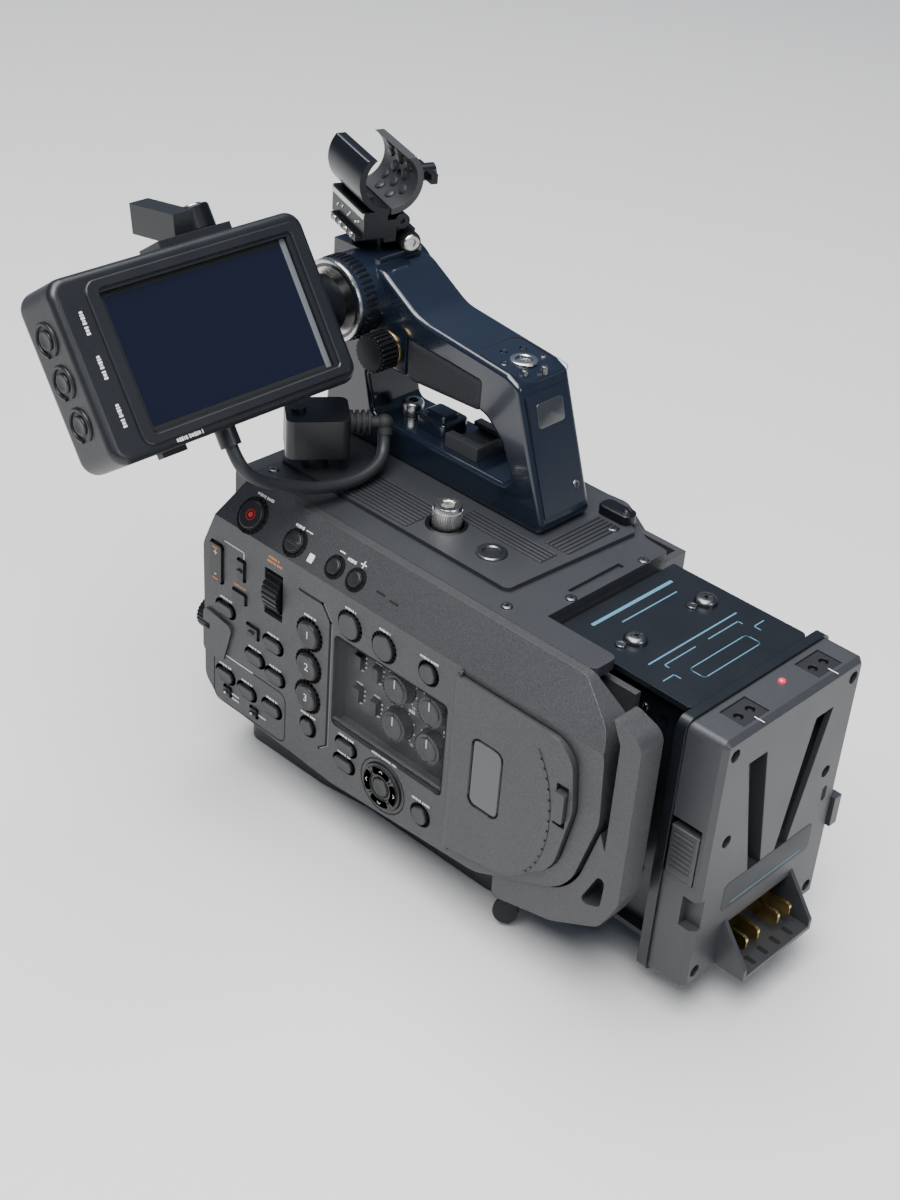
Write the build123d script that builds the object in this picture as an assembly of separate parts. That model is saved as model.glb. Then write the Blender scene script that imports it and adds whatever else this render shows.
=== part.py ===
"""Cinema camera rig: body with operator panel, top handle, rod-mounted monitor,
microphone holder and a wedge-battery adapter plate.

Millimetres. +X to the rear (operator end), the lens mount faces -X, the operator
panel faces -Y, +Z up. The origin is the centre of the tripod thread on the
underside of the base block.
"""
import math
import os

from build123d import *

# ---------------------------------------------------------------- driving sizes
RUN = 0.3             # clearance round keys, doors and other moving plastic parts
SHAFT_RUN = 0.05      # radial clearance of a shaft in its bore
SEAT = 0.05           # assembly gap between pieces of different bodies that bear

BODY_FRONT = -112.0   # front edge of the operator panel
BODY_REAR = 107.5     # rear of the operator cover
PANEL_Y = -67.0       # outer face of the operator panel
RIGHT_Y = 60.0        # outer face of the right cover
DECK_Z = 138.5        # top of the body
FOLD_Z = 122.0        # where the panel folds over into the sloped band
BAND_Y = -54.0        # top edge of the sloped band
COVER_DEPTH = 17.0    # how far the operator cover reaches in from its face
WALL = 3.0            # cover walls

BASE_H = 24.0         # height of the base block
BASE_FRONT = -106.0
BASE_REAR = 57.0
BASE_HALF = 45.0      # half width of the base block
TRIPOD_R = 3.175      # 1/4-20 thread
TRIPOD_BIG_R = 4.76   # 3/8-16 thread
TRIPOD_PITCH = 20.0   # distance between the two base threads
THREAD_DEPTH = 9.0

LENS_Y = 14.0         # lens axis, which the handle stands over
LENS_Z = 84.0
THROAT_R = 23.0       # clear bore of the lens mount
FLANGE_R = 31.0
FLANGE_T = 5.0

HANDLE_HALF = 14.5    # half width of the handle
GRIP_WALL = 1.6
DRUM_R = 17.0         # rod clamp drum at the front of the handle
DRUM_X = -96.0
DRUM_Z = 205.0
DRUM_LEFT = -14.0     # open end of the drum, towards the monitor
ROD_R = 7.5           # 15 mm accessory rod

MONITOR_W = 117.5     # monitor shell: width, height and thickness
MONITOR_H = 69.5
MONITOR_T = 26.0
MONITOR_TILT = 34.6   # screen leans back from upright by this much
MONITOR_AT = (-83.5, -80.5, 215.5)      # centre of the screen
GLASS_W = 88.0
GLASS_H = 52.5

ADAPTER_FRONT = 57.5  # battery adapter behind the body
ADAPTER_REAR = 117.0
ADAPTER_TOP = 133.5
ADAPTER_HALF = 35.5
BATTERY_HALF = 42.1   # half width of the battery plate
BATTERY_X = 138.3     # its outer face
BATTERY_Z0 = 16.7
BATTERY_Z1 = 132.6
SMALL_THREAD_R = 3.175

BAND_SLOPE = (DECK_Z - FOLD_Z, BAND_Y - PANEL_Y)    # rise and run of the band


# ---------------------------------------------------------------- helpers
def block(x0, x1, y0, y1, z0, z1):
    """Box between two corners."""
    return Pos((x0 + x1) / 2, (y0 + y1) / 2, (z0 + z1) / 2) * Box(x1 - x0, y1 - y0, z1 - z0)


def face(points):
    """Face from (u, v, corner radius) points."""
    loop = FilletPolyline(*[p[:2] for p in points], radius=[p[2] for p in points], close=True)
    return make_face(loop)


def slab_y(sketch, y0, y1):
    """Extrude an XZ sketch from y0 to y1."""
    return extrude(Plane((0, y1, 0), x_dir=(1, 0, 0), z_dir=(0, -1, 0)) * sketch, y1 - y0)


def slab_x(sketch, x0, x1):
    """Extrude a YZ sketch from x0 to x1."""
    return extrude(Plane((x0, 0, 0), x_dir=(0, 1, 0), z_dir=(1, 0, 0)) * sketch, x1 - x0)


def slab_z(sketch, z0, z1):
    """Extrude an XY sketch from z0 to z1."""
    return extrude(Pos(0, 0, z0) * sketch, z1 - z0)


def rod_x(x0, x1, y, z, r):
    return Pos((x0 + x1) / 2, y, z) * Rot(0, 90, 0) * Cylinder(r, x1 - x0)


def rod_y(y0, y1, x, z, r):
    return Pos(x, (y0 + y1) / 2, z) * Rot(90, 0, 0) * Cylinder(r, y1 - y0)


def rod_z(z0, z1, x, y, r):
    return Pos(x, y, (z0 + z1) / 2) * Cylinder(r, z1 - z0)


def knurled(r, length, grooves, depth):
    """Cylinder about Z with straight grooves round it."""
    body = Cylinder(r, length)
    cutter = Cylinder(depth, length + 1)
    for spot in PolarLocations(r + 0.3 * depth, grooves):
        body -= spot * cutter
    return body


def save(name, shape):
    """Write one sub-part; a list is a group of separate solids."""
    if isinstance(shape, (list, tuple)):
        shape = Compound(children=[solid for item in shape for solid in item.solids()])
    export_step(shape, f"parts/{name}.step")


def moved(location, shapes):
    return [location * shape for shape in shapes]


os.makedirs("parts", exist_ok=True)

# ---------------------------------------------------------------- operator cover
COVER_OUTLINE = [
    (-97, DECK_Z, 4), (BODY_FRONT, 105, 9), (BODY_FRONT + 1, 38, 7), (-103, 30.5, 5), (-30, 27, 12),
    (52, 33, 20), (97, 54, 26), (BODY_REAR, 92, 22), (BODY_REAR - 2, 126, 16), (84, DECK_Z, 10),
]
INNER_Y = PANEL_Y + COVER_DEPTH


def band_cutter(inset):
    """Wedge that slopes the top of the operator cover, set in by inset."""
    y0, y1 = PANEL_Y + inset, BAND_Y + inset
    wedge = face([(y0 - 30, FOLD_Z - 30 * BAND_SLOPE[0] / BAND_SLOPE[1], 0), (y1 + 6, DECK_Z
                  + 6 * BAND_SLOPE[0] / BAND_SLOPE[1], 0), (y0 - 30, DECK_Z + 30, 0)])
    return slab_x(wedge, BODY_FRONT - 5, BODY_REAR + 5)


cover_face = face(COVER_OUTLINE)
left_cover = slab_y(cover_face, PANEL_Y, INNER_Y) - band_cutter(0)
cavity = slab_y(offset(cover_face, -WALL), PANEL_Y + WALL, INNER_Y + 1) - band_cutter(WALL + 1)
left_cover -= cavity

# audio pocket behind its flip cover, with a backing block
AUDIO_X0, AUDIO_X1, AUDIO_Z0, AUDIO_Z1 = -30.5, 31.0, 58.0, 100.5
AUDIO_FLOOR = PANEL_Y + 7.0
left_cover += block(AUDIO_X0 - 3, AUDIO_X1 + 3, PANEL_Y + 1, AUDIO_FLOOR + WALL, AUDIO_Z0 - 3, AUDIO_Z1 + 3)
left_cover -= block(AUDIO_X0, AUDIO_X1, PANEL_Y - 1, AUDIO_FLOOR, AUDIO_Z0, AUDIO_Z1)

# media door opening: a step that the door lies in and a window to the card slots
DOOR_T = 3.8
DOOR_PIVOT_X, DOOR_PIVOT_Y = 37.5, PANEL_Y - 0.6
DOOR_Z0, DOOR_Z1 = 38.0, 119.0
DOOR_R = DOOR_T / 2
DOOR_FACE = DOOR_PIVOT_Y + DOOR_R
door_face = face([(DOOR_PIVOT_X, DOOR_Z0, 0), (70, 44, 14), (91, 62, 20), (97, 92, 20), (94, DOOR_Z1, 12),
                  (DOOR_PIVOT_X, DOOR_Z1, 0)])
door_gap = slab_y(offset(door_face, RUN + 0.2), PANEL_Y - 1, DOOR_FACE + RUN)
door_gap += block(DOOR_PIVOT_X - DOOR_R - RUN, DOOR_PIVOT_X + 2, PANEL_Y - 1, DOOR_FACE + RUN,
                  DOOR_Z0 - RUN, DOOR_Z1 + RUN)
left_cover += slab_y(offset(door_face, 3), PANEL_Y + 1, DOOR_FACE + RUN + 2)
left_cover -= door_gap
CARD_X0, CARD_X1, CARD_Z0, CARD_Z1 = 44.0, 80.0, 56.0, 110.0
left_cover -= block(CARD_X0, CARD_X1, PANEL_Y - 1, INNER_Y, CARD_Z0, CARD_Z1)

# ---------------------------------------------------------------- keys on the panel
KEY_PROUD = 1.0
FLANGE = 1.2          # retaining lip of each key, behind the wall


def key_body(sketch, lip, proud=KEY_PROUD):
    """Key cap through the wall, with a lip behind it; built face out along +Z."""
    cap = extrude(sketch, WALL + proud + RUN)
    cap = Pos(0, 0, -WALL - RUN) * cap
    return cap + Pos(0, 0, -WALL - RUN - 1.0) * extrude(offset(sketch, lip), 1.0)


def panel_spot(x, z, y=PANEL_Y):
    """Place on the vertical panel: local x to the rear, local y up, local z outwards."""
    return Plane((x, y, z), x_dir=(1, 0, 0), z_dir=(0, -1, 0)).location


def band_spot(x, rise):
    """Place on the sloped band, rise millimetres up the slope from the fold."""
    length = (BAND_SLOPE[0] ** 2 + BAND_SLOPE[1] ** 2) ** 0.5
    up = (0, BAND_SLOPE[1] / length, BAND_SLOPE[0] / length)
    out = (0, -BAND_SLOPE[0] / length, BAND_SLOPE[1] / length)
    spot = (x, PANEL_Y + up[1] * rise, FOLD_Z + up[2] * rise)
    return Plane(spot, x_dir=(1, 0, 0), z_dir=out).location


def make_key(place, sketch, lip=FLANGE, proud=KEY_PROUD):
    """Cut the key's hole in the cover and return the key."""
    global left_cover
    hole = Pos(0, 0, -12) * extrude(offset(sketch, lip + RUN), 12 - WALL)
    hole += Pos(0, 0, -WALL - 1) * extrude(offset(sketch, RUN), WALL + 9)
    left_cover -= place * hole
    return place * key_body(sketch, lip, proud)


rec_button = make_key(band_spot(-86.3, 7.5), Circle(6.2))
hold_switch = make_key(band_spot(-60.3, 7.0), Circle(4.4))
volume_minus = make_key(band_spot(-37.0, 7.0), Circle(3.2))
volume_plus = make_key(band_spot(-25.1, 7.0), Circle(3.2))
assign_buttons = [make_key(panel_spot(-45.5, z), Circle(6.0)) for z in (93.2, 77.7, 62.4)]
nd_rocker = make_key(panel_spot(-103.0, 99.5), RectangleRounded(7.0, 18.0, 1.2), lip=0.8)
menu_ring = make_key(panel_spot(0.0, 43.5), Circle(10.5) - Circle(4.6), lip=0.0)
menu_button = make_key(panel_spot(0.0, 43.5), Circle(4.2), lip=0.0)

OVAL_KEYS = [(-97.5, 78.9), (-67.3, 76.5), (-78.5, 63.9), (-65.7, 61.2), (-97.5, 44.9), (-83.5, 43.8),
             (-67.4, 43.9), (-21.8, 50.5), (-22.5, 41.5)]
ROUND_KEYS = [(-44.8, 47.5, 3.6), (-22.7, 109.2, 5.4), (-3.6, 109.2, 5.4), (20.5, 110.2, 4.0), (21.6,
              42.3, 4.0)]
panel_keys = [make_key(panel_spot(x, z), SlotOverall(10.5, 5.2)) for x, z in OVAL_KEYS]
panel_keys += [make_key(panel_spot(x, z), Circle(r)) for x, z, r in ROUND_KEYS]
panel_keys.append(make_key(panel_spot(-88.5, 89.6), RectangleRounded(8.0, 4.4, 0.8)))

SLIDE_SWITCHES = [(-87.5, 103.0, 4.0, 9.0), (-80.0, 76.5, 7.0, 5.0), (-96.0, 37.2, 4.0, 4.0), (-78.7,
                  35.6, 4.0, 4.0)]
AUDIO_SWITCHES = [(-22.5, 90.0), (-12.5, 89.0), (-22.5, 74.0), (-12.5, 73.0)]
panel_switches = [make_key(panel_spot(x, z), RectangleRounded(w, h, 0.6), lip=0.8) for x, z, w,
                  h in SLIDE_SWITCHES]
panel_switches += [block(x - 1.8, x + 1.8, AUDIO_FLOOR - 2.5, AUDIO_FLOOR, z - 3.2, z + 3.2)
                   for x, z in AUDIO_SWITCHES]

# knurled dials: the ND dial lies in the panel, the front dial in the front edge
ND_DIAL_R, ND_DIAL_W = 12.0, 9.0
ND_X, ND_Z = -67.5, 101.0
ND_Y = PANEL_Y + ND_DIAL_R - 3.0
nd_dial = Pos(ND_X, ND_Y, ND_Z) * Rot(0, 90, 0) * (knurled(ND_DIAL_R, ND_DIAL_W, 30, 0.7)
                                                    - Cylinder(2.0 + SHAFT_RUN, ND_DIAL_W + 1))
nd_axle = rod_x(ND_X - ND_DIAL_W / 2 - 4, ND_X + ND_DIAL_W / 2 + 4, ND_Y, ND_Z, 2.0)
left_cover -= block(ND_X - ND_DIAL_W / 2 - 1.0, ND_X + ND_DIAL_W / 2 + 1.0, PANEL_Y - 1, PANEL_Y + WALL + 1,
                    ND_Z - ND_DIAL_R + 1, ND_Z + ND_DIAL_R - 1)
nd_ears = [block(x - 1, x + 1, PANEL_Y + WALL - 0.5, ND_Y + 4, ND_Z - 4, ND_Z + 4)
           for x in (ND_X - ND_DIAL_W / 2 - 3, ND_X + ND_DIAL_W / 2 + 3)]
left_cover += nd_ears[0] + nd_ears[1] + nd_axle

FRONT_DIAL_R, FRONT_DIAL_L = 8.0, 9.0
FRONT_DIAL_Y, FRONT_DIAL_Z = PANEL_Y + 7.2, 66.0
FRONT_DIAL_X1 = BODY_FRONT + 5.0
left_cover += slab_y(face([(BODY_FRONT + 1, 52, 3), (-98, 52, 3), (-92, 72, 3), (BODY_FRONT + 1, 74.5, 3)]),
                     PANEL_Y - 1.2, PANEL_Y + 1)
left_cover -= rod_x(BODY_FRONT - 6, FRONT_DIAL_X1 + RUN, FRONT_DIAL_Y, FRONT_DIAL_Z, FRONT_DIAL_R + 0.5)
front_axle = rod_x(BODY_FRONT - 3, FRONT_DIAL_X1 + 2, FRONT_DIAL_Y, FRONT_DIAL_Z, 1.5)
left_cover += block(FRONT_DIAL_X1 + RUN, FRONT_DIAL_X1 + 3, PANEL_Y + 1, INNER_Y, FRONT_DIAL_Z - 9,
                    FRONT_DIAL_Z + 9)
left_cover += front_axle
front_dial = Pos(FRONT_DIAL_X1 - FRONT_DIAL_L / 2, FRONT_DIAL_Y, FRONT_DIAL_Z) * Rot(0, 90, 0) * (
    knurled(FRONT_DIAL_R, FRONT_DIAL_L, 28, 0.5) - Cylinder(1.5 + SHAFT_RUN, FRONT_DIAL_L + 1))

# four level dials in the audio pocket, on studs
DIAL_R, DIAL_H = 6.8, 4.0
audio_dials = []
for x, z in [(1.0, 90.4), (20.0, 90.4), (1.0, 72.6), (20.0, 72.6)]:
    place = panel_spot(x, z, AUDIO_FLOOR)
    left_cover += place * Pos(0, 0, 0.9) * Cylinder(1.5, 1.8)
    dial = Pos(0, 0, RUN + DIAL_H / 2) * (Cylinder(DIAL_R, DIAL_H) - Pos(0, 0, -DIAL_H / 2 + 0.8)
                                          * Cylinder(1.5 + SHAFT_RUN, 1.8))
    dial -= Pos(0, 0, RUN + DIAL_H) * Box(1.2, 2 * DIAL_R, 1.0)
    audio_dials.append(place * dial)

# see-through audio cover, hinged along its lower edge
AUDIO_COVER_T = 1.6
AUDIO_HINGE_R = 1.6
AUDIO_HINGE_Y, AUDIO_HINGE_Z = PANEL_Y + 1.2, AUDIO_Z0 + AUDIO_HINGE_R + 0.4
audio_cover = block(AUDIO_X0 + RUN, AUDIO_X1 - RUN, PANEL_Y - 0.4, PANEL_Y - 0.4 + AUDIO_COVER_T,
                    AUDIO_HINGE_Z, AUDIO_Z1 - RUN)
audio_cover -= block(-20, -8, PANEL_Y - 2, PANEL_Y + 4, AUDIO_Z1 - 4, AUDIO_Z1)
audio_cover += rod_x(AUDIO_X0 + RUN, AUDIO_X1 - RUN, AUDIO_HINGE_Y, AUDIO_HINGE_Z, AUDIO_HINGE_R)
audio_cover -= rod_x(AUDIO_X0 - 1, AUDIO_X1 + 1, AUDIO_HINGE_Y, AUDIO_HINGE_Z, 0.7 + SHAFT_RUN)
left_cover += rod_x(AUDIO_X0 - 1, AUDIO_X1 + 1, AUDIO_HINGE_Y, AUDIO_HINGE_Z, 0.7)

# ---------------------------------------------------------------- media door
media_door = slab_y(door_face, DOOR_PIVOT_Y - DOOR_R, DOOR_FACE)
media_door += rod_z(DOOR_Z0, DOOR_Z1, DOOR_PIVOT_X, DOOR_PIVOT_Y, DOOR_R)
media_door -= rod_z(DOOR_Z0 - 1, DOOR_Z1 + 1, DOOR_PIVOT_X, DOOR_PIVOT_Y, 0.8 + SHAFT_RUN)
left_cover += rod_z(DOOR_Z0 - 2, DOOR_Z1 + 2, DOOR_PIVOT_X, DOOR_PIVOT_Y, 0.8)
WINDOW_X, WINDOW_Z, WINDOW_W, WINDOW_H = 55.0, 82.0, 16.0, 32.0
window_shape = RectangleRounded(WINDOW_W, WINDOW_H, 4)
window_spot = panel_spot(WINDOW_X, WINDOW_Z, DOOR_PIVOT_Y - DOOR_R)
media_door -= window_spot * Pos(0, 0, -DOOR_T - 1) * extrude(offset(window_shape, -1.5), DOOR_T + 2)
media_door -= window_spot * Pos(0, 0, -1.4) * extrude(window_shape, 3)
door_window = window_spot * Pos(0, 0, -1.4) * extrude(offset(window_shape, -0.1), 1.2)
LATCH_X, LATCH_Z, LATCH_W, LATCH_H = 91.5, 92.0, 5.0, 13.0
LATCH_TRAVEL = 2.5
latch_spot = panel_spot(LATCH_X, LATCH_Z, DOOR_PIVOT_Y - DOOR_R)
media_door -= latch_spot * Pos(0, 0, -2.0) * extrude(Rectangle(LATCH_W + 2 * RUN, LATCH_H + 2 * LATCH_TRAVEL
                                                               + 2 * RUN), 4)
door_latch = latch_spot * Pos(0, 0, -2.0 + RUN) * extrude(RectangleRounded(LATCH_W, LATCH_H, 0.8), 3.4)

# ---------------------------------------------------------------- body
BAY_X1 = 97.0         # rear of the body lobe behind the media door
BAY_Y = -37.0
BAY_Z0 = 42.0         # floor of the lobe
REAR_WALL_X = 50.0
REAR_RIGHT_Y = 34.0   # the body narrows to this towards the rear right

base_face = face([(BASE_FRONT, -48, 8), (-56, -47, 20), (-30, -43, 20), (42, -42, 14), (BASE_REAR, -28, 8),
                  (BASE_REAR, 28, 8), (42, 42, 14), (BASE_FRONT, BASE_HALF, 8)])
base_plate = slab_z(base_face, 0, BASE_H)
base_plate -= slab_z(offset(base_face, -8), 12, BASE_H + 1) - rod_z(0, BASE_H + 1, 0, 0, 22)
for x, r in ((0, TRIPOD_R), (TRIPOD_PITCH, TRIPOD_BIG_R)):
    base_plate -= rod_z(-1, THREAD_DEPTH, x, 0, r)
base_plate -= block(-78, -36, -60, -42, 5, 21)      # air inlet in the left flank

CHASSIS_Y0 = INNER_Y + 0.3
CHASSIS_Y1 = RIGHT_Y - 14.0
CHASSIS_Z1 = DECK_Z - 4.5
chassis = block(-99.7, REAR_WALL_X, CHASSIS_Y0, CHASSIS_Y1, BASE_H, CHASSIS_Z1)
chassis -= block(-96.7, REAR_WALL_X - 3, CHASSIS_Y0 + 3, CHASSIS_Y1 - 3, BASE_H + 3, CHASSIS_Z1 + 1)
chassis -= rod_x(-105, -90, LENS_Y, LENS_Z, THROAT_R + 3)
chassis += block(REAR_WALL_X - 3, BAY_X1 - 1, BAY_Y - 3, BAY_Y, BAY_Z0, CHASSIS_Z1 - 4)
chassis += block(REAR_WALL_X - 3, BAY_X1 - 1, CHASSIS_Y0, BAY_Y, BAY_Z0, BAY_Z0 + 3)

front_face = face([(-49.7, 30, 4), (-30, 8, 6), (40, 8, 8), (RIGHT_Y - 2, 30, 10), (RIGHT_Y - 2, 118, 10),
                   (46, CHASSIS_Z1, 8), (-49.7, CHASSIS_Z1, 2)])
front_frame = slab_x(front_face, BODY_FRONT, -100.0)
front_frame -= rod_x(BODY_FRONT - 1, -99, LENS_Y, LENS_Z, THROAT_R)
front_frame -= block(BASE_FRONT - 1, -99, -50, 50, -1, BASE_H)

lens_flange = rod_x(BODY_FRONT - FLANGE_T, BODY_FRONT, LENS_Y, LENS_Z, FLANGE_R - 3)
lens_flange -= rod_x(BODY_FRONT - 9, BODY_FRONT + 1, LENS_Y, LENS_Z, THROAT_R)
lock_ring = rod_x(BODY_FRONT - FLANGE_T, BODY_FRONT - SEAT, LENS_Y, LENS_Z, FLANGE_R + 2)
lock_ring -= rod_x(BODY_FRONT - 9, BODY_FRONT + 1, LENS_Y, LENS_Z, FLANGE_R - 3 + SHAFT_RUN)
lock_ring += block(BODY_FRONT - FLANGE_T, BODY_FRONT - RUN, LENS_Y - FLANGE_R - 9, LENS_Y - FLANGE_R,
                   LENS_Z - 5, LENS_Z + 5)

SENSOR_X = BODY_FRONT + 24.0
image_sensor = block(SENSOR_X, SENSOR_X + 8, LENS_Y - 24, LENS_Y + 24, LENS_Z - 20, LENS_Z + 20)
image_sensor += block(SENSOR_X + 8, SENSOR_X + 20, LENS_Y - 18, LENS_Y + 18, LENS_Z - 15, LENS_Z + 15)
for k in range(6):
    image_sensor -= block(SENSOR_X + 11, SENSOR_X + 21, LENS_Y - 16 + 6 * k, LENS_Y - 13 + 6 * k, 60, 110)
image_sensor += block(SENSOR_X + 2, SENSOR_X + 6, LENS_Y + 24, CHASSIS_Y1 - 3, LENS_Z - 8, LENS_Z + 8)
chassis -= block(CARD_X0 - 0.5, REAR_WALL_X + 1, INNER_Y - 1, BAY_Y - 2.5, CARD_Z0, CARD_Z1)
chassis -= block(ND_X - ND_DIAL_W, ND_X + ND_DIAL_W, INNER_Y - 1, INNER_Y + 5, ND_Z - ND_DIAL_R,
                 ND_Z + ND_DIAL_R)
main_board = block(-60, 44, -30, 40, 34, 35.6)
for k in range(5):
    main_board += block(-52 + 19 * k, -40 + 19 * k, -18, 4, 35.6, 38.6)
for x, y in ((-54, -26), (-54, 36), (38, -26), (38, 36)):
    main_board += rod_z(BASE_H + 3, 34, x, y, 3)

card_slots = block(CARD_X0 + 0.5, CARD_X1 - 0.5, PANEL_Y + WALL + 4, BAY_Y - 3, CARD_Z0 + 1, CARD_Z1 - 1)
for z in (64.0, 88.0):
    card_slots -= block(CARD_X0 + 6, CARD_X1 - 6, PANEL_Y, BAY_Y - 8, z, z + 7)

right_face = face([(-99.6, 126, 8), (-99.6, 16, 8), (8, 16, 16), (30, 60, 14), (30, 118, 12), (10, 134, 8)])
right_cover = slab_y(right_face, CHASSIS_Y1 + 0.2, RIGHT_Y)
right_cover = fillet(right_cover.faces().sort_by(Axis.Y)[-1].edges(), 3.5)
right_cover -= slab_y(offset(right_face, -WALL), CHASSIS_Y1 - 1, RIGHT_Y - WALL)
right_cover -= block(-74, -28, RIGHT_Y - 6, RIGHT_Y + 1, 52, 56)    # air slots in the right flank
right_cover -= block(-74, -28, RIGHT_Y - 6, RIGHT_Y + 1, 62, 66)
right_cover -= block(-74, -28, RIGHT_Y - 6, RIGHT_Y + 1, 72, 76)

PAD_RISE = 2.0        # ribbed pad on the deck
PAD_Z = DECK_Z + PAD_RISE
deck_face = face([(-99.5, INNER_Y + 0.2, 2), (84, INNER_Y + 0.2, 3), (84, BAY_Y, 3), (REAR_WALL_X, BAY_Y, 0),
                  (REAR_WALL_X, REAR_RIGHT_Y, 2), (38, REAR_RIGHT_Y + 1, 6), (12, 50, 6), (-99.5, 50, 6)])
top_deck = slab_z(deck_face, CHASSIS_Z1, DECK_Z)
top_deck += slab_z(face([(-99, -37.5, 3), (30, -37.5, 3), (34, 33, 3), (10, 46, 4), (-99, 46, 3)]),
                   DECK_Z, PAD_Z)
SLOT_Y0, SLOT_Y1 = -18.0, 12.0
top_deck -= block(43, 46, SLOT_Y0, SLOT_Y1, DECK_Z - 1.5, DECK_Z + 1)
DECK_THREAD_X, DECK_THREAD_Y = 8.5, -23.4
top_deck -= rod_z(CHASSIS_Z1 - 1, PAD_Z + 1, DECK_THREAD_X, DECK_THREAD_Y, SMALL_THREAD_R)
LOCK_KNOB_X, LOCK_KNOB_Y, LOCK_KNOB_R = -17.7, -21.5, 5.6
top_deck -= rod_z(DECK_Z - 2, PAD_Z + 1, LOCK_KNOB_X, LOCK_KNOB_Y, LOCK_KNOB_R + 3)
top_deck -= rod_z(CHASSIS_Z1 - 1, PAD_Z + 1, LOCK_KNOB_X, LOCK_KNOB_Y, 2.5 + SHAFT_RUN)
handle_lock_knob = Pos(LOCK_KNOB_X, LOCK_KNOB_Y, DECK_Z - 2 + RUN + 5) * knurled(LOCK_KNOB_R, 10, 32, 0.4)
handle_lock_knob += rod_z(CHASSIS_Z1 - 6, DECK_Z - 1, LOCK_KNOB_X, LOCK_KNOB_Y, 2.5)
handle_lock_knob = handle_lock_knob - Pos(LOCK_KNOB_X, LOCK_KNOB_Y, DECK_Z + 8) * Box(1.2, 8, 2)

REAR_TOP_Z = ADAPTER_TOP - 2.8
rear_face = face([(-48, 40, 8), (-30, 22, 6), (24, 22, 6), (REAR_RIGHT_Y, 40, 8), (REAR_RIGHT_Y,
                 REAR_TOP_Z, 3),
                  (BAY_Y + 0.3, REAR_TOP_Z, 0), (BAY_Y + 0.3, 124, 0), (-48, 124, 3)])
rear_frame = slab_x(rear_face, REAR_WALL_X, ADAPTER_FRONT - 0.2)
rear_frame -= slab_x(face([(-49, 41.8, 0), (BAY_Y + 0.2, 41.8, 0), (BAY_Y + 0.2, 131, 0), (-49, 131, 0)]),
                     REAR_WALL_X - 1, ADAPTER_FRONT + 1)
rear_frame -= slab_x(face([(-49, 0, 0), (-47, 0, 0), (-47, 41, 0), (-49, 41, 0)]), REAR_WALL_X - 1,
                     ADAPTER_FRONT)
# plug opening to the battery adapter
rear_frame -= block(REAR_WALL_X - 1, ADAPTER_FRONT + 1, -20, 20, 60, 110)
rear_frame -= slab_z(offset(base_face, 0.2), -1, BASE_H + 0.1)

# ---------------------------------------------------------------- rear guard
GUARD_Y0, GUARD_Y1 = -65.0, -53.0
GUARD_GAP = 1.2       # between the guard and the operator cover
LUG_Y1 = -43.0        # inner end of the lug that carries the guard
LUG_Z0 = 29.0
guard_face = face([(60, 25, 3), (90, 33, 18), (112, 45, 9), (119.4, 60, 12), (119.4, 133, 6), (108, 137, 6),
                   (60, 137, 2)]) - offset(cover_face, GUARD_GAP)
guard_face -= face([(101, 50, 2), (111.5, 54.5, 3), (112.8, 76, 2)])
guard_face -= face([(110.2, 80, 0), (110.2, 128, 2), (100, 150, 0), (80, 150, 0)])
rear_guard = slab_y(guard_face, GUARD_Y0, GUARD_Y1)
rear_guard += block(62, 74, GUARD_Y1 - 1, LUG_Y1, LUG_Z0, LUG_Z0 + 4)
rear_guard += block(62, 74, INNER_Y + 0.5, LUG_Y1, LUG_Z0, BAY_Z0 - RUN)
CAP_X, CAP_Y = 60.0, -48.0
socket_cap = Pos(CAP_X - 3, CAP_Y - 3, 7) * Rot(70, 30, 0) * Cylinder(5.2, 3.2)
strap = Polyline((CAP_X - 3, CAP_Y - 3, 8.5), (CAP_X + 2, CAP_Y, 16), (CAP_X + 4.5, CAP_Y + 1, 23),
                 (CAP_X + 6, CAP_Y + 1.5, LUG_Z0 - 0.6))
socket_cap += sweep(Plane(origin=strap @ 0, z_dir=strap % 0) * Circle(1.4), path=strap,
                    transition=Transition.ROUND)

# ---------------------------------------------------------------- battery adapter
CORE_Y = 29.0
CORE_Z0, CORE_Z1 = 22.0, ADAPTER_TOP - 2.5
adapter = block(ADAPTER_FRONT, ADAPTER_REAR - 0.2, -CORE_Y, CORE_Y, CORE_Z0, CORE_Z1)
adapter -= block(ADAPTER_FRONT - 1, ADAPTER_REAR - 3, -CORE_Y + 3, CORE_Y - 3, CORE_Z0 + 3, CORE_Z1 - 3)
for side in (-1, 1):
    for z in (46.0, 74.0, 100.0):
        adapter -= block(100, 104, side * CORE_Y - 1.5, side * CORE_Y + 1.5, z, z + 18)
adapter += block(ADAPTER_FRONT, ADAPTER_REAR - 0.2, -CORE_Y - 4, CORE_Y + 4, CORE_Z0 - 2.5, CORE_Z0)
plate_face = face([(52.3, -34.5, 1), (ADAPTER_REAR - 0.2, -ADAPTER_HALF, 2), (ADAPTER_REAR - 0.2,
                  ADAPTER_HALF, 3),
                   (52.3, ADAPTER_HALF, 1)])
adapter += slab_z(plate_face, CORE_Z1, ADAPTER_TOP)
CAMERA_SCREWS = [(77.0, -18.0), (77.8, 23.0)]
adapter_screws = []
for x, y in CAMERA_SCREWS:
    head = rod_z(ADAPTER_TOP, ADAPTER_TOP + 2.4, x, y, 4.4)
    head = fillet(head.edges().sort_by(Axis.Z)[-1], 1.2) - Pos(x, y, ADAPTER_TOP + 2.4) * (Box(5, 0.9, 1.6)
                                                                                        + Box(0.9, 5, 1.6))
    adapter_screws.append(head)
    adapter_screws.append(rod_z(ADAPTER_TOP, ADAPTER_TOP + 0.7, x - 1.5, y - 6.6, 2.0))

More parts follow.
